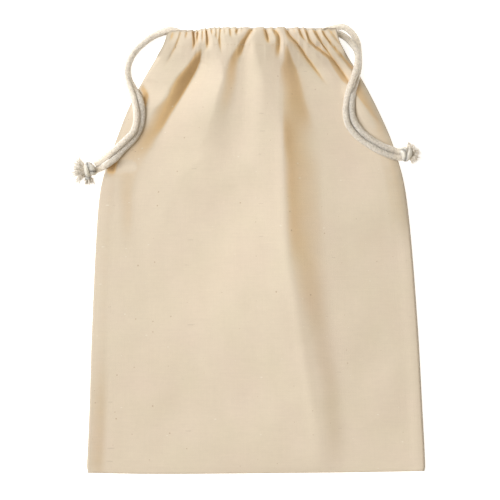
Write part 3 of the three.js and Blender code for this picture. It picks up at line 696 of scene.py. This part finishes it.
def casing_bulge(up):
    return np.cbrt(1 - np.minimum(np.abs(up - CASING_MIDDLE) / CASING_HALF, 1) ** 3)


def inner_layer(x):
    return np.minimum(eased(x, HEM_LEFT, HEM_LEFT + HEM_EASE), eased(x, HEM_RIGHT, HEM_RIGHT - HEM_EASE))


def hem_curl(x, up):
    return np.where(up > CASING_MIDDLE, (1 - casing_bulge(up)) * inner_layer(x), 0)


# How far the mouth's edge lies below the full length: x, dip
MOUTH_EDGE = [
    (-78.5, 6.6), (-75, 4.8), (-70, 4), (-56, 3.7), (-48, 2.2), (-40, 1.3), (-20, 1.2), (0, 1.5),
    (10, 1.2), (20, 0.9), (30, 1.4), (40, 0.9), (50, 1.6), (62, 1.3), (71, 2.2),
]


def mouth_dip(x, up):
    dip = column(MOUTH_EDGE, 1, x) + 0.55 * gathered(GATHERS, x, BAG_LENGTH + 0 * x)[0]
    return dip * eased(up, 350, BAG_LENGTH)


def seam_ridge(x, up):
    """The seam allowance inside shows as a low puckered ridge along each side."""
    left, right = edges(up)
    found = 0
    for away, strength in ((x - left, 0.3), (right - x, 0.35)):
        pucker = 1 + 0.3 * np.sin(up / 1.9 + 2 * np.sin(up / 13)) * eased(away, 0, 3)
        found = found + strength * pucker * eased(away, 0, 4) * eased(away, 13.5, 6.5)
    return found


def creases(gathers, most, x, up):
    """Depth of the gathers, on the hem no more than its bulge allows."""
    depth = gathered(gathers, x, up)[0]
    return lerp(depth, np.minimum(depth, most * casing_bulge(up)), casing_share(up))


def front_creases(x, up):
    return creases(GATHERS, FRONT_CREASE, x, up)


# The left side rises late, the right side has a rolled edge, and the mouth is domed with a shoulder
LATE_RISE = 0.38
ROLLED_SHARE, ROLLED_WIDTH = 0.27, 18
SHOULDER_SHARE, SHOULDER_WIDTH, SWELL_WIDTH = 0.32, 13, 105
CREST_BLEND = 8
SEAM_LIFT_WIDTH, BACK_LIFT_WIDTH = 15, 14
LEAST_HEIGHT = 3.4  # no fold sinks lower than this
WAVES = [(0.25, 75, 11), (0.05, 24, 12)]  # height, size and seed of gentle waves


def front_base(x, up):
    """The front without folds: highest along the crest, sloping to both sides, domed at the mouth."""
    left, right = edges(up)
    crest, inside, crown = column(CREST, 1, up), inward(x, up), column(SECTIONS, 5, up)
    swell = smooth(inside / np.minimum(SWELL_WIDTH, (right - left) / 2))
    dome = SHOULDER_SHARE * (1 - np.exp(-inside / SHOULDER_WIDTH)) + (1 - SHOULDER_SHARE) * swell
    t = np.clip((x - left) / (crest - left), 0, 1)
    left_share = lerp((1 - LATE_RISE) * t + LATE_RISE * t ** 4, dome, eased(up, 285, 340))
    t = np.clip((right - x) / (right - crest), 0, 1)
    rolled = ROLLED_SHARE * eased(up, 190, 240) * eased(up, 360, 330)
    right_share = lerp(t, 1 - (1 - np.minimum(inside / ROLLED_WIDTH, 1)) ** 2, rolled)
    right_share = lerp(right_share, dome, eased(up, 330, 366))
    on_left = lerp(column(SECTIONS, 3, up), crown, left_share)
    on_right = lerp(column(SECTIONS, 4, up), crown, right_share)
    seam = column(SEAM_LIFT, 1, up) * np.clip(1 - (x - left) / SEAM_LIFT_WIDTH, 0, 1)
    return lerp(on_left, on_right, eased(x - crest, -CREST_BLEND, CREST_BLEND)) + seam


def front_height(x, up):
    inside, share = inward(x, up), casing_share(up)
    base = front_base(x, up)
    sunk = sum(fold_depth(fold, x, up) for fold in FOLDS) * (1 - eased(up, 378, 392))
    soft = sum(height * ripple(x, up, size, seed) for height, size, seed in WAVES)
    detail = soft * eased(inside, 0, 30) * eased(up, 0, 30) * (1 - share)
    detail = detail + seam_ridge(x, up) * eased(up, 340, 280)
    lowest = np.minimum(base, LEAST_HEIGHT)
    curl = FRONT_CURL * hem_curl(x, up)
    return np.maximum(base - sunk, lowest) - curl - front_creases(x, up) + detail


def front_inside(x, up):
    bulge = casing_bulge(up)
    layers = (FRONT_LAYERS * bulge - 0.75 * front_creases(x, up)) * casing_share(up) * inner_layer(x)
    return front_height(x, up) - LAYER - layers


def back_lift(x, up):
    """The back rises with the left side, which lies a little off the floor."""
    away = np.clip((x - edges(up)[0]) / BACK_LIFT_WIDTH, 0, 1)
    height = column(SECTIONS, 3, up) + column(SEAM_LIFT, 1, up) - 3
    return height * (1 - away) ** 2 * eased(up, 345, 305)


def back_height(x, up):
    within = eased(inward(x, up), 0, 12)
    folds = 0.3 * sum(fold_depth(fold, BACK_MIRROR - x, up) for fold in FOLDS[:2]) * (1 - casing_share(up))
    sunk = folds + creases(BACK_GATHERS, BACK_CREASE, x, up)
    return BACK_CURL * hem_curl(x, up) + sunk * within + back_lift(x, up)


def back_inside(x, up):
    layers = BACK_LAYERS * casing_bulge(up) * casing_share(up) * inner_layer(x) + back_lift(x, up)
    return BACK_CURL * hem_curl(x, up) + LAYER + layers


def seamed(z, x, up):
    """A layer with its side edges drawn round to the seam, but not along the slits at the mouth."""
    side = np.where(x < 0, column(SECTIONS, 3, up) + column(SEAM_LIFT, 1, up), column(SECTIONS, 4, up))
    near_mouth = eased(up, 325, 355)
    seam = lerp(side - SEAM_DROP, LAYER, near_mouth)
    radius = lerp(1.0, np.maximum(1.6, 0.4 * side), near_mouth)
    turned = np.sqrt(np.clip(1 - (1 - np.minimum(inward(x, up) / radius, 1)) ** 2, 0, 1))
    return lerp(lerp(seam, z, turned), z, eased(up, 367, 375))


def front_outside(x, up):
    return seamed(front_height(x, up), x, up)


def back_outside(x, up):
    return seamed(back_height(x, up), x, up)


# Cords, along the routes that they take through the hems
CORD_RADIUS = 2.85
CORD_FLAT = 0.62  # how flat the soft cords lie
CORD_SINK = 2.7  # how far a flat cord lies below the route of a round one
SINK_FROM, SINK_TO = 5, 9  # it sets in between these heights
CORD_STEP, HEM_CORD_STEP = 0.45, 0.9
CORD_SIDES, HEM_CORD_SIDES = 40, 20
REST_OFFSETS = (-2.2, -1.2, 0, 1.2, 2.2)  # across a cord, where the cloth under it is felt
REST_INSET = 1.5  # kept from the side edges there
REST_PRESS = 0.4  # how far a cord presses into the cloth
REST_EASE = 9  # steps each way over which its height is eased
LEFT_IN_HEM, RIGHT_IN_HEM = (14, 24), (15, 25)  # points of the routes where they enter and leave the hems
LEFT_CORD = [
    (-142.6, 273, 5.8), (-134.6, 278.8, 9), (-125.6, 285.8, 12.4), (-115.8, 294.8, 13.6),
    (-107.8, 304, 14.6), (-105.5, 315.6, 15.2), (-106.8, 327.6, 14.8), (-110.2, 338.4, 12),
    (-113.3, 348.4, 9.2), (-113.7, 359.4, 8.4), (-108.6, 371.8, 8.4), (-98.4, 382.2, 8.8),
    (-87, 389.2, 10.8), (-74.4, 392.6, 12.6), (-62, 387.6, 13.3), (-46, 385.7, 15.8), (-15, 385.7, 18.9),
    (20, 385.7, 17.8), (46, 385.7, 14.8), (58, 385.7, 12.5), (64.2, 385.7, 10.2), (64.2, 385.7, 6.2),
    (57, 385.7, 4.1), (0, 385.7, 3.9), (-62, 386.4, 4), (-75, 391.2, 4), (-87.4, 388.4, 3.3),
    (-98.4, 381.6, 2.9), (-108.2, 371.4, 2.9), (-113, 360.4, 2.9), (-112.6, 350, 3.2), (-107.6, 340, 6.8),
    (-102.4, 330.2, 10.8), (-100.6, 319.6, 11.6), (-101.9, 308.2, 11.1), (-107.7, 296.8, 10.3),
    (-117, 287.2, 9.9), (-126.6, 277, 8.9), (-135.8, 271, 6.4), (-144, 267.6, 6),
]
RIGHT_CORD = [
    (129.5, 279.4, 5.4), (122, 280.4, 8.2), (111.8, 284.2, 11), (100, 290.8, 11.7), (89, 299, 12),
    (81.6, 308.8, 12.6), (79.5, 320.6, 13.6), (81, 333.2, 17), (84.4, 345.2, 16.8), (88, 355, 12.8),
    (90, 364.6, 9.4), (89.4, 373.4, 8.7), (84.8, 380.6, 9.4), (77.6, 387, 10.8), (66.6, 391.2, 12.6),
    (54, 391.4, 13.5), (30, 391.4, 16.4), (0, 391.4, 18.8), (-28, 391.2, 17.3), (-40, 390.8, 15.9),
    (-47.6, 390.6, 12), (-47.6, 390.6, 6.8), (-40, 390.8, 4.2), (-20, 391.2, 4.1), (24, 391.4, 4.1),
    (58, 391.8, 4.1), (68.6, 394.2, 4.2), (77, 395.4, 4.2), (84.6, 390.2, 3.6), (89.4, 382.4, 3),
    (91, 371.4, 2.9), (91.2, 361, 4.2), (88.6, 348.8, 10.4), (85.4, 336.6, 14.6), (84.8, 325, 13.8),
    (86.1, 314.2, 12.8), (93.5, 302.6, 12), (103, 295, 11.5), (113.8, 289.1, 10), (124.2, 285.5, 6.9),
    (130.8, 285, 5.4),
]


def rested(path):
    """The path raised where the cord would press more than a little into the cloth."""
    x, up, z = path.T
    left, right = edges(up)
    needed = np.zeros_like(z)
    for aside in REST_OFFSETS:
        at = np.clip(x + aside, left + REST_INSET, right - REST_INSET)
        under = CORD_FLAT * CORD_RADIUS * math.sqrt(1 - (aside / CORD_RADIUS) ** 2)
        needed = np.maximum(needed, front_outside(at, up) + under - REST_PRESS)
    over = eased(np.minimum(x - left, right - x), -5, -1) * eased(up, 366, 356)
    raised = np.maximum(z, needed * over)
    weights = np.hanning(2 * REST_EASE + 3)[1:-1]
    heights = np.convolve(np.pad(raised, REST_EASE, "edge"), weights / weights.sum(), "valid")
    return np.column_stack([x, up, heights])


def lay_cord(side, route, in_hem, seed):
    """One cord as its two free strands and the stretch inside the hems. Gives the free strands."""
    path = resampled(curve_through(route), CORD_STEP)
    enters, leaves = (int(np.argmin(np.linalg.norm(path - np.array(route[i]), axis=1))) for i in in_hem)
    path[:, 2] -= CORD_SINK * eased(path[:, 2], SINK_FROM, SINK_TO)
    run = lengths(path)
    strands = []
    for part, low, high in (("front", 0, enters), ("hem", enters, leaves), ("back", leaves, len(path) - 1)):
        line = path[low:high + 1]
        if part == "hem":
            line = resampled(line, HEM_CORD_STEP)
            sides = HEM_CORD_SIDES
        else:
            line = rested(line)
            sides = CORD_SIDES
        shape = braided_tube(line, CORD_RADIUS, sides, run[low], seed + low, flat=CORD_FLAT)
        piece = make_piece(f"{side}_cord_{part}", shape, f"cord_{side}", [CORD])
        if part != "hem":
            strands.append((piece, line if part == "back" else line[::-1]))
    return strands


# Knots with frayed ends
KNOT_HEIGHT = 6.8
WRAP_RADIUS = 4.2
WRAP_TUBE = 2.6
WRAP_PITCH = 2.2
WRAP_HEIGHT = 0.86  # height of a wrap for its width
WRAPS = [(-1.9, 24, 0.35, 1.2), (1.5, -20, 3.6, 1.3)]  # place along the knot, lean in degrees, start, turns
TUCK_ANGLE, TUCK_RADIUS = 0.9, 0.9  # the ends of a wrap turn in over this angle, to this radius
CORE_RADIUS = 4.0
CORE_START, CORE_END, CORE_TAPER = -5.0, 4.6, 6.2
TAIL_RADIUS = 2.9
TAIL_SLOPE = -0.12
KNOT_SIDES, TAIL_SIDES = 36, 32
GOLDEN_ANGLE = 2.39996
LOOSE_FIBRES = 6  # beside each yarn of a frayed end
LOOSE_WIDTH = 0.2

# Each tail: the place of its base, heading, length of its stub, spread, reach and number of yarns
LEFT_TAILS = [
    ((-150.2, 268.4, 6.8), 182, 1, 52, 14, 54), ((-149.6, 264.4, 5.8), 288, 4, 22, 6.4, 24),
]
RIGHT_TAILS = [
    ((135.6, 285.4, 6.8), 44, 1.2, 46, 7.4, 34), ((137, 281.8, 6.4), -26, 1.2, 46, 7.8, 36),
]


def directions(heading):
    """Level directions ahead and to the left."""
    ahead, aside = math.cos(heading), math.sin(heading)
    return np.array([ahead, aside, 0]), np.array([-aside, ahead, 0])


def knot_wraps(centre, heading, seed):
    """Two turns of cord wound across each other about the heading, their ends tucked inside."""
    parts = []
    for k, (offset, lean, first, turns) in enumerate(WRAPS):
        ahead, aside = directions(heading + math.radians(lean))
        angle = np.linspace(0, turns * math.tau, 160)
        tuck = np.minimum(smooth(angle / TUCK_ANGLE), smooth((angle[-1] - angle) / TUCK_ANGLE))
        away = lerp(TUCK_RADIUS, WRAP_RADIUS, tuck)
        phase = first + angle
        along = offset + (angle / math.tau - turns / 2) * WRAP_PITCH + np.sin(phase)
        path = centre + np.outer(along, ahead) + np.outer(away * np.cos(phase), aside)
        path[:, 2] += WRAP_HEIGHT * away * np.sin(phase)
        parts.append(braided_tube(resampled(path, CORD_STEP), WRAP_TUBE, KNOT_SIDES, k * 50.0, seed + k))
    core = np.linspace(CORE_START, CORE_END, 22)
    line = centre + np.outer(core, directions(heading)[0])
    taper = np.sqrt(1 - (core / CORE_TAPER) ** 2)
    parts.append(braided_tube(line, CORE_RADIUS, KNOT_SIDES, 100.0, seed + 2, taper))
    return parts


def fibre(start, direction, length, width, chance, droop, curl):
    """One thin fibre that bends as it goes and tapers to its tip."""
    bend = chance.normal(0, curl, 3)
    twist = chance.normal(0, curl * 0.8, 3)
    steps = np.linspace(0, 1, 8)
    path = (
        start
        + np.outer(steps, direction) * length
        + np.outer(steps ** 2, bend) * length * 0.5
        + np.outer(np.sin(steps * 5.5), twist) * length * 0.12
    )
    path[:, 2] -= droop * steps ** 2 * length
    path[:, 2] = np.maximum(path[:, 2], width + 0.15 + 0.05 * chance.random())
    return tube(path, width * (1 - 0.72 * steps ** 1.5), 5)


def frayed_tail(base, heading, stub, fan_angle, reach, yarns, seed):
    """A cut cord end: a short stub that opens into yarns, and each yarn into fibres."""
    chance = np.random.default_rng(seed)
    ahead, aside = directions(heading)
    ahead[2] = TAIL_SLOPE
    ahead /= np.linalg.norm(ahead)
    above = np.cross(ahead, aside)
    base = np.array(base)
    line = resampled(np.array([base - ahead * 3, base, base + ahead * stub]), CORD_STEP)
    flare = lerp(0.9, 1.12, smooth(np.linspace(-0.6, 1, len(line))))
    parts = [braided_tube(line, TAIL_RADIUS, TAIL_SIDES, seed * 3.0, seed, flare)]
    tip = base + ahead * (stub - 1.2)
    for i in range(yarns):
        turn = i * GOLDEN_ANGLE + chance.uniform(-0.3, 0.3)
        out = math.sqrt((i + 0.5) / yarns)
        side = math.cos(turn) * aside + math.sin(turn) * above * 0.8
        root = tip + side * (TAIL_RADIUS - 0.3) * out
        fan = math.radians(fan_angle) * out * chance.uniform(0.8, 1.15)
        way = math.cos(fan) * ahead + math.sin(fan) * side
        long = reach * chance.uniform(0.52, 1.0)
        parts.append(fibre(root, way, long, chance.uniform(0.5, 0.72), chance, 0.1, 0.22))
        for _ in range(LOOSE_FIBRES):
            loose = way + chance.normal(0, 0.24, 3) + side * chance.uniform(0, 0.25)
            loose /= np.linalg.norm(loose)
            start = root + way * long * chance.uniform(0.2, 0.8) + chance.normal(0, 0.25, 3)
            length = reach * chance.uniform(0.3, 0.6)
            parts.append(fibre(start, loose, length, LOOSE_WIDTH, chance, 0.12, 0.4))
    return parts


def make_knot(side, x, up, heading, tails, seed):
    """A knot of two cord ends: its wraps, and a frayed tail for each end."""
    parts = knot_wraps(np.array([x, up, KNOT_HEIGHT]), math.radians(heading), seed)
    kinds = [0] * sum(len(faces) for _, faces, _ in parts)
    for k, (base, turn, *form) in enumerate(tails):
        tail = frayed_tail(base, math.radians(turn), *form, seed + 10 + k)
        kinds += [0] * len(tail[0][1]) + [1] * sum(len(faces) for _, faces, _ in tail[1:])
        parts += tail
    return make_piece(f"{side}_knot", joined(parts), f"knot_{side}", [KNOT, FRAY], kinds)


# Both cords, laid on the cloth, and their knots
left_knot = make_knot("left", -147, 268.8, 200, LEFT_TAILS, 31)
right_knot = make_knot("right", 133, 283.2, -10, RIGHT_TAILS, 57)
for side, route, in_hem, knot, seed in (
    ("left", LEFT_CORD, LEFT_IN_HEM, left_knot, 3), ("right", RIGHT_CORD, RIGHT_IN_HEM, right_knot, 5),
):
    for k, (piece, line) in enumerate(lay_cord(side, route, in_hem, seed)):
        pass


# The bag as one length of cloth, from one hem through the bottom fold to the other
SIDE_STEPS = np.array([0, 0.3, 0.8, 1.5, 2.4, 3.6, 5.2, 7.2])  # columns, in from each side edge
SIDE_END = 9.4  # the even columns start here
INNER_COLUMNS = 221
FOLD_RADIUS = 1.5
EDGE_RISE = 0.35  # how far the rounded edge of a hem stands over its sides
BACK_DIP = 1.2  # how far the back's edge lies below the front's
BOTTOM_WAVE = [(-150, 0.4), (-90, -0.6), (-15, -0.1), (80, 0.8), (150, 2.0)]  # x, up
# Painted shade on the front's walls: the slope where it sets in, and the change to full shade, elsewhere and
# on the left
SHADE_FROM, SHADE_OVER = (-0.04, 0.03), (0.5, 0.42)
RIGHT_SHADE, LOW_SHADE = 0.75, 0.35  # its share on the right, and near the bottom
TROUGH_SHADE, GATHER_SHADE = 0.75, 0.95  # added where the left trough is steepest, and in the gathers
RIM_SHADE = -0.6  # the share below 0 that paints shade on the mouth's rim


def columns_at(up):
    left, right = edges(up)
    inner = np.linspace(left + SIDE_END, right - SIDE_END, INNER_COLUMNS)
    return np.concatenate([left + SIDE_STEPS, inner, (right - SIDE_STEPS)[::-1]])


def wall_shade(x, up):
    """Share of painted shade on the front: 1 on a steep wall facing away from the light, more in the trough
    and gathers.
    """
    slope = (front_height(x + 1, up) - front_height(x - 1, up)) / 2
    fade_in = np.where(x < 0, 3, lerp(16, 9, eased(up, 296, 308)))
    on_left, on_right = 1 - eased(x, -45, -33), eased(x, 5, 25)
    shaded = smooth((lerp(*SHADE_FROM, on_left) - slope) / lerp(*SHADE_OVER, on_left))
    shaded = shaded * lerp(1, RIGHT_SHADE, on_right) * lerp(LOW_SHADE, 1, eased(up, 100, 220))
    shaded = shaded + TROUGH_SHADE * eased(slope, -0.2, -0.6) * on_left
    shaded = shaded * smooth(inward(x, up) / fade_in) + GATHER_SHADE * gathered(GATHERS, x, up)[1]
    return lerp(shaded, RIM_SHADE, eased(up, 394, BAG_LENGTH))


HEIGHTS = {
    "front_in": front_inside,
    "front_edge": lambda x, up: (front_height(x, up) + front_inside(x, up)) / 2,
    "front": front_outside,
    "back": back_outside,
    "back_edge": lambda x, up: (back_height(x, up) + back_inside(x, up)) / 2,
    "back_in": back_inside,
}


def cloth_row(kind, up, turn):
    """Points of one row across the cloth, and each point's share of painted shade."""
    x = columns_at(up)
    ups = np.full_like(x, up)
    rise = ups - mouth_dip(x, ups)
    shaded = np.zeros_like(x)
    if kind == "fold":
        z = lerp(back_outside(x, ups), front_outside(x, ups), 0.5 + 0.5 * math.sin(turn))
        rise = rise - FOLD_RADIUS * math.cos(turn)
    else:
        z = HEIGHTS[kind](x, ups)
    if kind == "front":
        shaded = wall_shade(x, ups)
    if kind == "front_edge":
        shaded = shaded + RIM_SHADE
    if kind.startswith("back"):
        rise = rise - BACK_DIP * eased(ups, 370, BAG_LENGTH)
    if kind.endswith("edge"):
        rise = rise + EDGE_RISE
    rise = rise + column(BOTTOM_WAVE, 1, x) * (1 - eased(ups, 0, 45))
    x = x * (1 - 0.007 * (1 - eased(rise, 0, 7)))
    return np.column_stack([x, rise, z]), shaded


def cloth_rows():
    """Every row of the cloth in order: kind, up, turn about the bottom fold, and its stride in columns."""
    hem = [379.2, 380.6, 382.2, 384.2, 386.6, 389, 391.4, 393.4, 394.8, 395.6, 396]
    shares = (1, 0.985, 0.95, 0.9, 0.83, 0.75, 0.66, 0.56, 0.45, 0.33, 0.2, 0.07)
    rolled = [CASING_MIDDLE + CASING_HALF * share for share in shares]
    upper = [*np.arange(387.6, 350, -0.9), *np.arange(350, 321, -1.2), *np.arange(321, 256, -1.7)]
    lower = [*np.linspace(254, 8, 76), 5.6, 3.8, 2.4, FOLD_RADIUS]
    back_low = [FOLD_RADIUS, 3, 6, 12, *np.linspace(20, 336, 38)]
    back_high = [344, 352, 359, 364, *np.arange(367, 388, 1.6), *rolled[::-1]]
    rows = [("front_in", up, 0, 1) for up in hem] + [("front_edge", BAG_LENGTH, 0, 1)]
    rows += [("front", up, 0, 1) for up in rolled + upper] + [("front", up, 0, 2) for up in lower]
    rows += [("fold", FOLD_RADIUS, math.radians(turn), 2) for turn in (60, 30, 0, -30, -60)]
    rows += [("back", up, 0, 4) for up in back_low] + [("back", up, 0, 2) for up in back_high]
    rows += [("back_edge", BAG_LENGTH, 0, 2)] + [("back_in", up, 0, 2) for up in hem[::-1]]
    return rows


def strip(a, many, b, few, flipped):
    """Faces between two rows, the first with as many columns as the second or twice as many."""
    if many == few:
        found = [(a + j, b + j, b + j + 1, a + j + 1) for j in range(many - 1)]
    else:
        found = []
        for i, j in zip(range(a, a + many - 1, 2), range(b, b + few - 1)):
            found += [(i, j, i + 1), (i + 1, j, j + 1), (i + 1, j + 1, i + 2)]
    return [face[::-1] for face in found] if flipped else found


def bag_cloth():
    """The cloth row by row, laid out across and down, with its share of painted shade."""
    points, laid, faces = [], [], []
    start, down = 0, 0.0
    for kind, up, turn, stride in cloth_rows():
        row, shaded = cloth_row(kind, up, turn)
        across = np.linspace(-HALF_WIDTH, HALF_WIDTH, len(row))
        row, across, shaded = row[::stride], across[::stride], shaded[::stride]
        if points:
            last = points[-1]
            down += np.linalg.norm(row[len(row) // 2] - last[len(last) // 2])
            if len(last) >= len(row):
                faces += strip(start - len(last), len(last), start, len(row), False)
            else:
                faces += strip(start, len(row), start - len(last), len(last), True)
        points.append(row)
        laid.append(np.column_stack([across, np.full(len(row), down), shaded]))
        start += len(row)
    shape = np.vstack(points), faces, np.vstack(laid)
    return make_piece("bag", shape, "bag_cloth", [CLOTH])


bag = bag_cloth()
body = bag.modifiers.new("thickness", "SOLIDIFY")
body.thickness = CLOTH_THICKNESS * MM
body.offset = -1


# Stitches that close the hems
STITCH_UP, STITCH_INSET = 380.4, 2.5  # their height up the bag, and how far they end from the sides
STITCH_LENGTH, STITCH_PITCH, STITCH_RADIUS = 2.5, 3.1, 0.2
STITCH_RISE, STITCH_SINK = 0.28, 0.12


def stitch_line(name, height, dip, lift):
    """A row of stitches just above the foot of a hem, given the height and dip of its cloth."""
    left, right = edges(STITCH_UP)
    x = np.linspace(left + STITCH_INSET, right - STITCH_INSET, 900)
    ups = np.full_like(x, STITCH_UP)
    line = np.column_stack([x, ups - dip(x, ups), height(x, ups)])
    bow = np.sin(np.linspace(0, math.pi, 7))
    parts = []
    for begin in np.arange(0, lengths(line)[-1] - STITCH_LENGTH, STITCH_PITCH):
        path = points_along(line, np.linspace(begin, begin + STITCH_LENGTH, len(bow)))
        path[:, 2] += lift * (STITCH_RISE * bow - STITCH_SINK)
        parts.append(tube(path, STITCH_RADIUS * (0.55 + 0.45 * bow), 6, begin))
    return make_piece(name, joined(parts), "bag_cloth", [THREAD])


stitch_line("stitches_front", front_height, mouth_dip, 1)
stitch_line("stitches_back", back_height, lambda x, up: 0 * x, -0.5)


# Camera, straight above as in the photograph
CAMERA_PLACE = (-0.0053, -0.0002, 8.0)
SENSOR_WIDTH = 36
PICTURE_WIDTH = 0.4425
PICTURE_LEVEL = 0.006  # the height over the floor at which the picture is that wide
camera = bpy.data.cameras.new("camera")
camera.sensor_width = SENSOR_WIDTH
camera.lens = SENSOR_WIDTH * (CAMERA_PLACE[2] - PICTURE_LEVEL) / PICTURE_WIDTH
camera.clip_end = 30
bpy.context.scene.camera = new_object("camera", camera)
bpy.context.scene.camera.location = CAMERA_PLACE


# Floor, light and surroundings
FLOOR_REACH, FLOOR_DROP = 4, 0.0004  # half its width, and how far it lies below the bag
FLOOR_LOOK = {
    "Base Color": (0.93, 0.93, 0.93, 1), "Roughness": 1.0, "Specular IOR Level": 0.0,
    "Emission Color": (1, 1, 1, 1), "Emission Strength": 0.7,
}
KEY_STRENGTH = 3.11
KEY_COLOUR = (0.985, 0.99, 1.0)
KEY_AIM = (163, 45)  # degrees round from +X and up, where the light comes from
KEY_WIDTH = 46  # its width as seen from the bag, in degrees
ROOM_STRENGTH = 0.315
ROOM_COLOUR = (1.0, 0.86, 0.66, 1)


def plain_floor():
    mesh = bpy.data.meshes.new("floor")
    corners = [(x * FLOOR_REACH, y * FLOOR_REACH, 0) for x, y in ((-1, -1), (1, -1), (1, 1), (-1, 1))]
    mesh.from_pydata(corners, [], [(0, 1, 2, 3)])
    floor = new_object("floor", mesh)
    floor.location.z = -FLOOR_DROP
    material = bpy.data.materials.new("floor")
    material.use_nodes = True
    surface = material.node_tree.nodes["Principled BSDF"].inputs
    for key, value in FLOOR_LOOK.items():
        surface[key].default_value = value
    mesh.materials.append(material)


def key_light():
    light = bpy.data.lights.new("key", "SUN")
    light.energy = KEY_STRENGTH
    light.color = KEY_COLOUR
    light.angle = math.radians(KEY_WIDTH)
    azimuth, height = (math.radians(a) for a in KEY_AIM)
    new_object("key", light).rotation_euler = (math.radians(90) - height, 0, azimuth + math.radians(90))


plain_floor()
key_light()
world = bpy.data.worlds.new("studio")
world.use_nodes = True
surroundings = world.node_tree.nodes["Background"]
surroundings.inputs["Color"].default_value = ROOM_COLOUR
surroundings.inputs["Strength"].default_value = ROOM_STRENGTH
bpy.context.scene.world = world
bpy.context.scene.view_settings.view_transform = "Standard"
